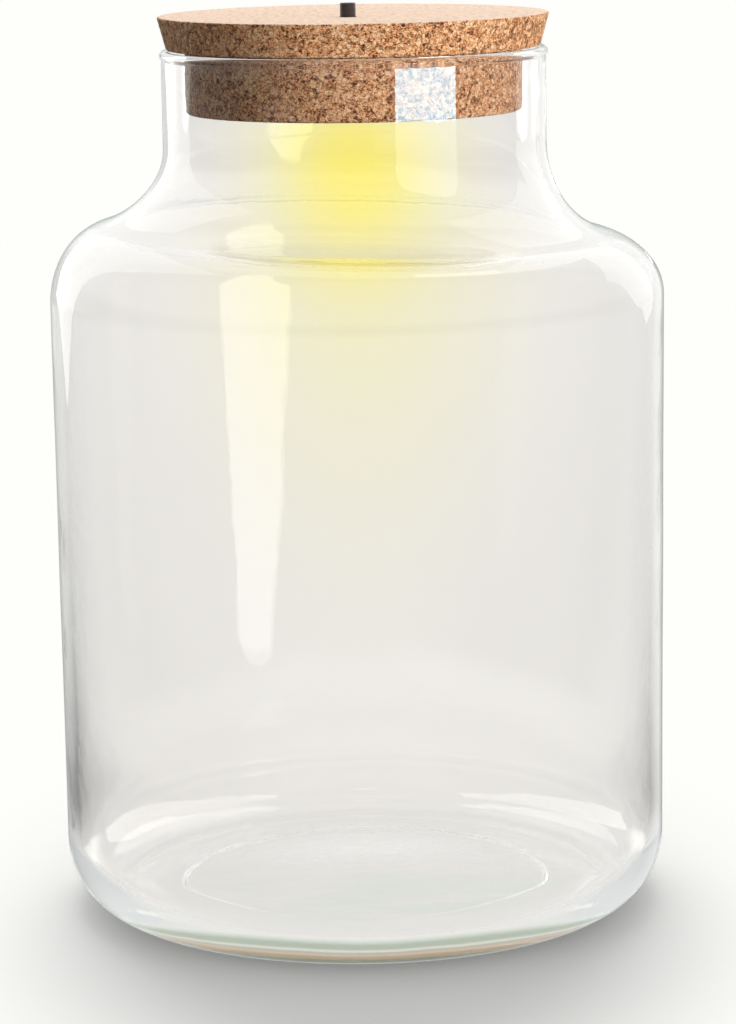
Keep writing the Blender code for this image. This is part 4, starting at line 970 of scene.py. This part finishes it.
def make_lamp(name, place, aim, size, power, spared=None):
    """A soft lamp. It doesn't light the object that spared names."""
    lamp = bpy.data.lights.new(name, "AREA")
    lamp.shape = "RECTANGLE"
    lamp.size, lamp.size_y = size
    lamp.energy = power
    obj = new_object(name, lamp)
    obj.location = place
    obj.rotation_euler = (Vector(aim) - Vector(place)).to_track_quat("-Z", "Y").to_euler()
    obj.visible_glossy = False
    obj.visible_transmission = False
    obj.visible_camera = False
    if spared:
        receivers = bpy.data.collections.new(name + "_receivers")
        receivers.objects.link(bpy.data.objects[spared])
        receivers.collection_objects[0].light_linking.link_state = "EXCLUDE"
        obj.light_linking.receiver_collection = receivers


def card_material(name, strength, through=True, deep=False, colour=(1.0, 1.0, 0.985)):
    """An evenly lit cloth. through=False hides it from light that came through glass.

    deep=True shows it only to light that has crossed the jar and come back.
    """
    material, tree, output = new_material(name)
    cloth = remap(tree, noise_value(tree, object_place(tree), CLOTH_SIZE, detail=2.0), 0.2, 0.8, 0.94, 1.0)
    level = times(tree, cloth, strength)
    light = add(tree, "Emission", {"Color": (*colour, 1.0), "Strength": level})
    if deep or not through:
        path = add(tree, "LightPath")
        hidden = path.outputs["Is Transmission Ray"]
        if deep:
            hidden = maths(tree, "LESS_THAN", path.outputs["Ray Depth"], CROSSED_TURNS)
        clear = add(tree, "BsdfTransparent", {"Color": (*WHITE, 1.0)})
        light = add(tree, "MixShader", {0: hidden, 1: light.outputs[0], 2: clear.outputs[0]})
    return surfaced(material, output, light)


def make_card(name, points, faces, material):
    """A lit panel that only reflections see."""
    mesh = bpy.data.meshes.new(name)
    mesh.from_pydata(points, [], faces)
    card = new_object(name, mesh)
    give(card, material)
    card.visible_camera = False
    card.visible_diffuse = False
    card.visible_shadow = False
    card.visible_volume_scatter = False
    return card


def make_side_card(name, side, outline):
    """A panel beside the jar. outline holds (y, z) in the plane x = side."""
    points = [(side, y, z) for y, z in outline]
    card = make_card(name, points, [tuple(range(len(points)))], card_material(name, PANEL_LEVEL))
    card.visible_transmission = False


def reflected_point(radius, scatter, distance):
    """A place (x, y) that a round wall mirrors: distance away, at scatter degrees from the front."""
    half = radians(scatter / 2)
    turn = radians(scatter)
    across = radius * sin(half) + distance * sin(turn)
    return across, -radius * cos(half) - distance * cos(turn)


def make_window():
    """The window that the neck mirrors, and what hides it from the shoulder.

    It shows bright over the cork and dimmer under it, where a shelf and an upright stand nearer to the jar.
    A wide flag under the shelf keeps both from the shoulder.
    """
    turns = spread(WINDOW_TURN, WINDOW_STEPS)
    far = [reflected_point(NECK_RADIUS, turn, WINDOW_DISTANCE) for turn in turns]
    near = [reflected_point(NECK_RADIUS, turn, WINDOW_NEAR) for turn in turns]
    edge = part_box("cork_plug")[0].z - WINDOW_SILL_DROP
    sill = edge - WINDOW_SLOPE * WINDOW_DISTANCE
    crest = edge - WINDOW_SLOPE * WINDOW_NEAR - WINDOW_CREST_DROP
    row = WINDOW_STEPS + 1
    quads = [(step, step + 1, row + step + 1, row + step) for step in range(WINDOW_STEPS)]
    bright = card_material("window_bright", WINDOW_LEVEL, through=False, colour=WINDOW_COLOUR)
    dim = card_material("window_dim", WINDOW_DIM_LEVEL, through=False)
    room = card_material("window_flag", FLAG_LEVEL, through=False)
    corners = [(*point, sill) for point in far] + [(*point, sill + WINDOW_HEIGHT) for point in far]
    make_card("window_bright", corners, quads, bright)
    make_card("window_shelf", [(*point, sill) for point in near + far], quads, dim)
    tops = []
    for step, point in enumerate(near):
        out = max(abs(2 * step / WINDOW_STEPS - 1) - WINDOW_CORNER, 0.0) / (1 - WINDOW_CORNER)
        tops.append((*point, crest - WINDOW_CORNER_DROP * (1 - sqrt(1 - out * out))))
    make_card("window_dim", tops + [(*point, crest - WINDOW_DIM_HEIGHT) for point in near], quads, dim)
    corners = []
    for radius in FLAG_RADII:
        for turn in spread(FLAG_TURN, WINDOW_STEPS):
            around = radians(turn)
            corners.append((radius * sin(around), -radius * cos(around), sill - FLAG_DROP))
    make_card("window_flag", corners, quads, room)


def place_at(azimuth, rise, distance):
    """The place that is seen from the origin at azimuth from the front and at rise, both in degrees."""
    around = radians(azimuth)
    up = radians(rise)
    flat = distance * cos(up)
    return Vector((flat * sin(around), -flat * cos(around), distance * sin(up)))


def make_heel_cards():
    """Panels high on each side that only the inner curve over the foot shows, as long white shapes."""
    for name, ways in (("heel_card_right", HEEL_WAYS_RIGHT), ("heel_card_left", HEEL_WAYS_LEFT)):
        points = [place_at(azimuth, rise, HEEL_CARD_DISTANCE) for azimuth, rise in ways]
        middle = sum(points, Vector()) / len(points)
        count = len(points)
        faces = [(row, (row + 1) % count, count) for row in range(count)]
        make_card(name, points + [middle], faces, card_material(name, HEEL_CARD_LEVEL, deep=True))


def make_back_strip():
    """A pale strip on the floor, in front of the jar, that shows as a tall reflection in its far wall."""
    radius = BODY_RADIUS_TOP - BODY_WALL
    left = []
    right = []
    for height, fall, left_turn, right_turn in STRIP_SIDES:
        run = height / tan(radians(fall))
        for side, turn in ((left, left_turn), (right, right_turn)):
            half = radians(turn / 2)
            way = radians(turn)
            across = -radius * sin(half) + run * sin(way)
            side.append((across, radius * cos(half) - run * cos(way), STRIP_LIFT))
    count = len(STRIP_SIDES)
    faces = [(row, row + 1, count + row + 1, count + row) for row in range(count - 1)]
    make_card("back_strip", left + right, faces, card_material("back_strip", STRIP_LEVEL, deep=True))


def make_studio():
    make_floor()
    make_world()
    make_lamp("back_softbox", **BACK_LAMP)
    make_lamp("key_softbox", **KEY_LAMP, spared="floor")
    make_side_card("left_panel", -PANEL_DISTANCE, LEFT_PANEL)
    make_side_card("right_panel", PANEL_DISTANCE, RIGHT_PANEL)
    make_window()
    make_back_strip()
    make_heel_cards()


def make_camera():
    lens = bpy.data.cameras.new("photo_camera")
    lens.sensor_fit = "AUTO"
    lens.sensor_width = SENSOR_SIZE
    lens.lens = SENSOR_SIZE * FOCAL_PIXELS / PHOTO_LONG_SIDE
    lens.shift_x = AXIS_OFFSET_PIXELS / PHOTO_LONG_SIDE
    lens.clip_start = 0.05
    lens.clip_end = 50
    camera = new_object("photo_camera", lens)
    tilt = Euler((radians(90 - CAMERA_PITCH), 0, 0)).to_matrix().to_4x4()
    roll = Matrix.Rotation(radians(CAMERA_ROLL), 4, "Z")
    camera.matrix_world = Matrix.Translation((0, -CAMERA_DISTANCE, CAMERA_HEIGHT)) @ tilt @ roll
    bpy.context.scene.camera = camera


make_camera()
make_jar()
pressed_cork = cork_material()
make_lid(pressed_cork)
make_plug(pressed_cork)
make_button()
dress_nodes()
make_glow()
make_studio()
bpy.context.scene.view_settings.view_transform = "Standard"
cycles = bpy.context.scene.cycles
cycles.max_bounces = LIGHT_BOUNCES
cycles.transmission_bounces = LIGHT_BOUNCES
cycles.glossy_bounces = LIGHT_BOUNCES
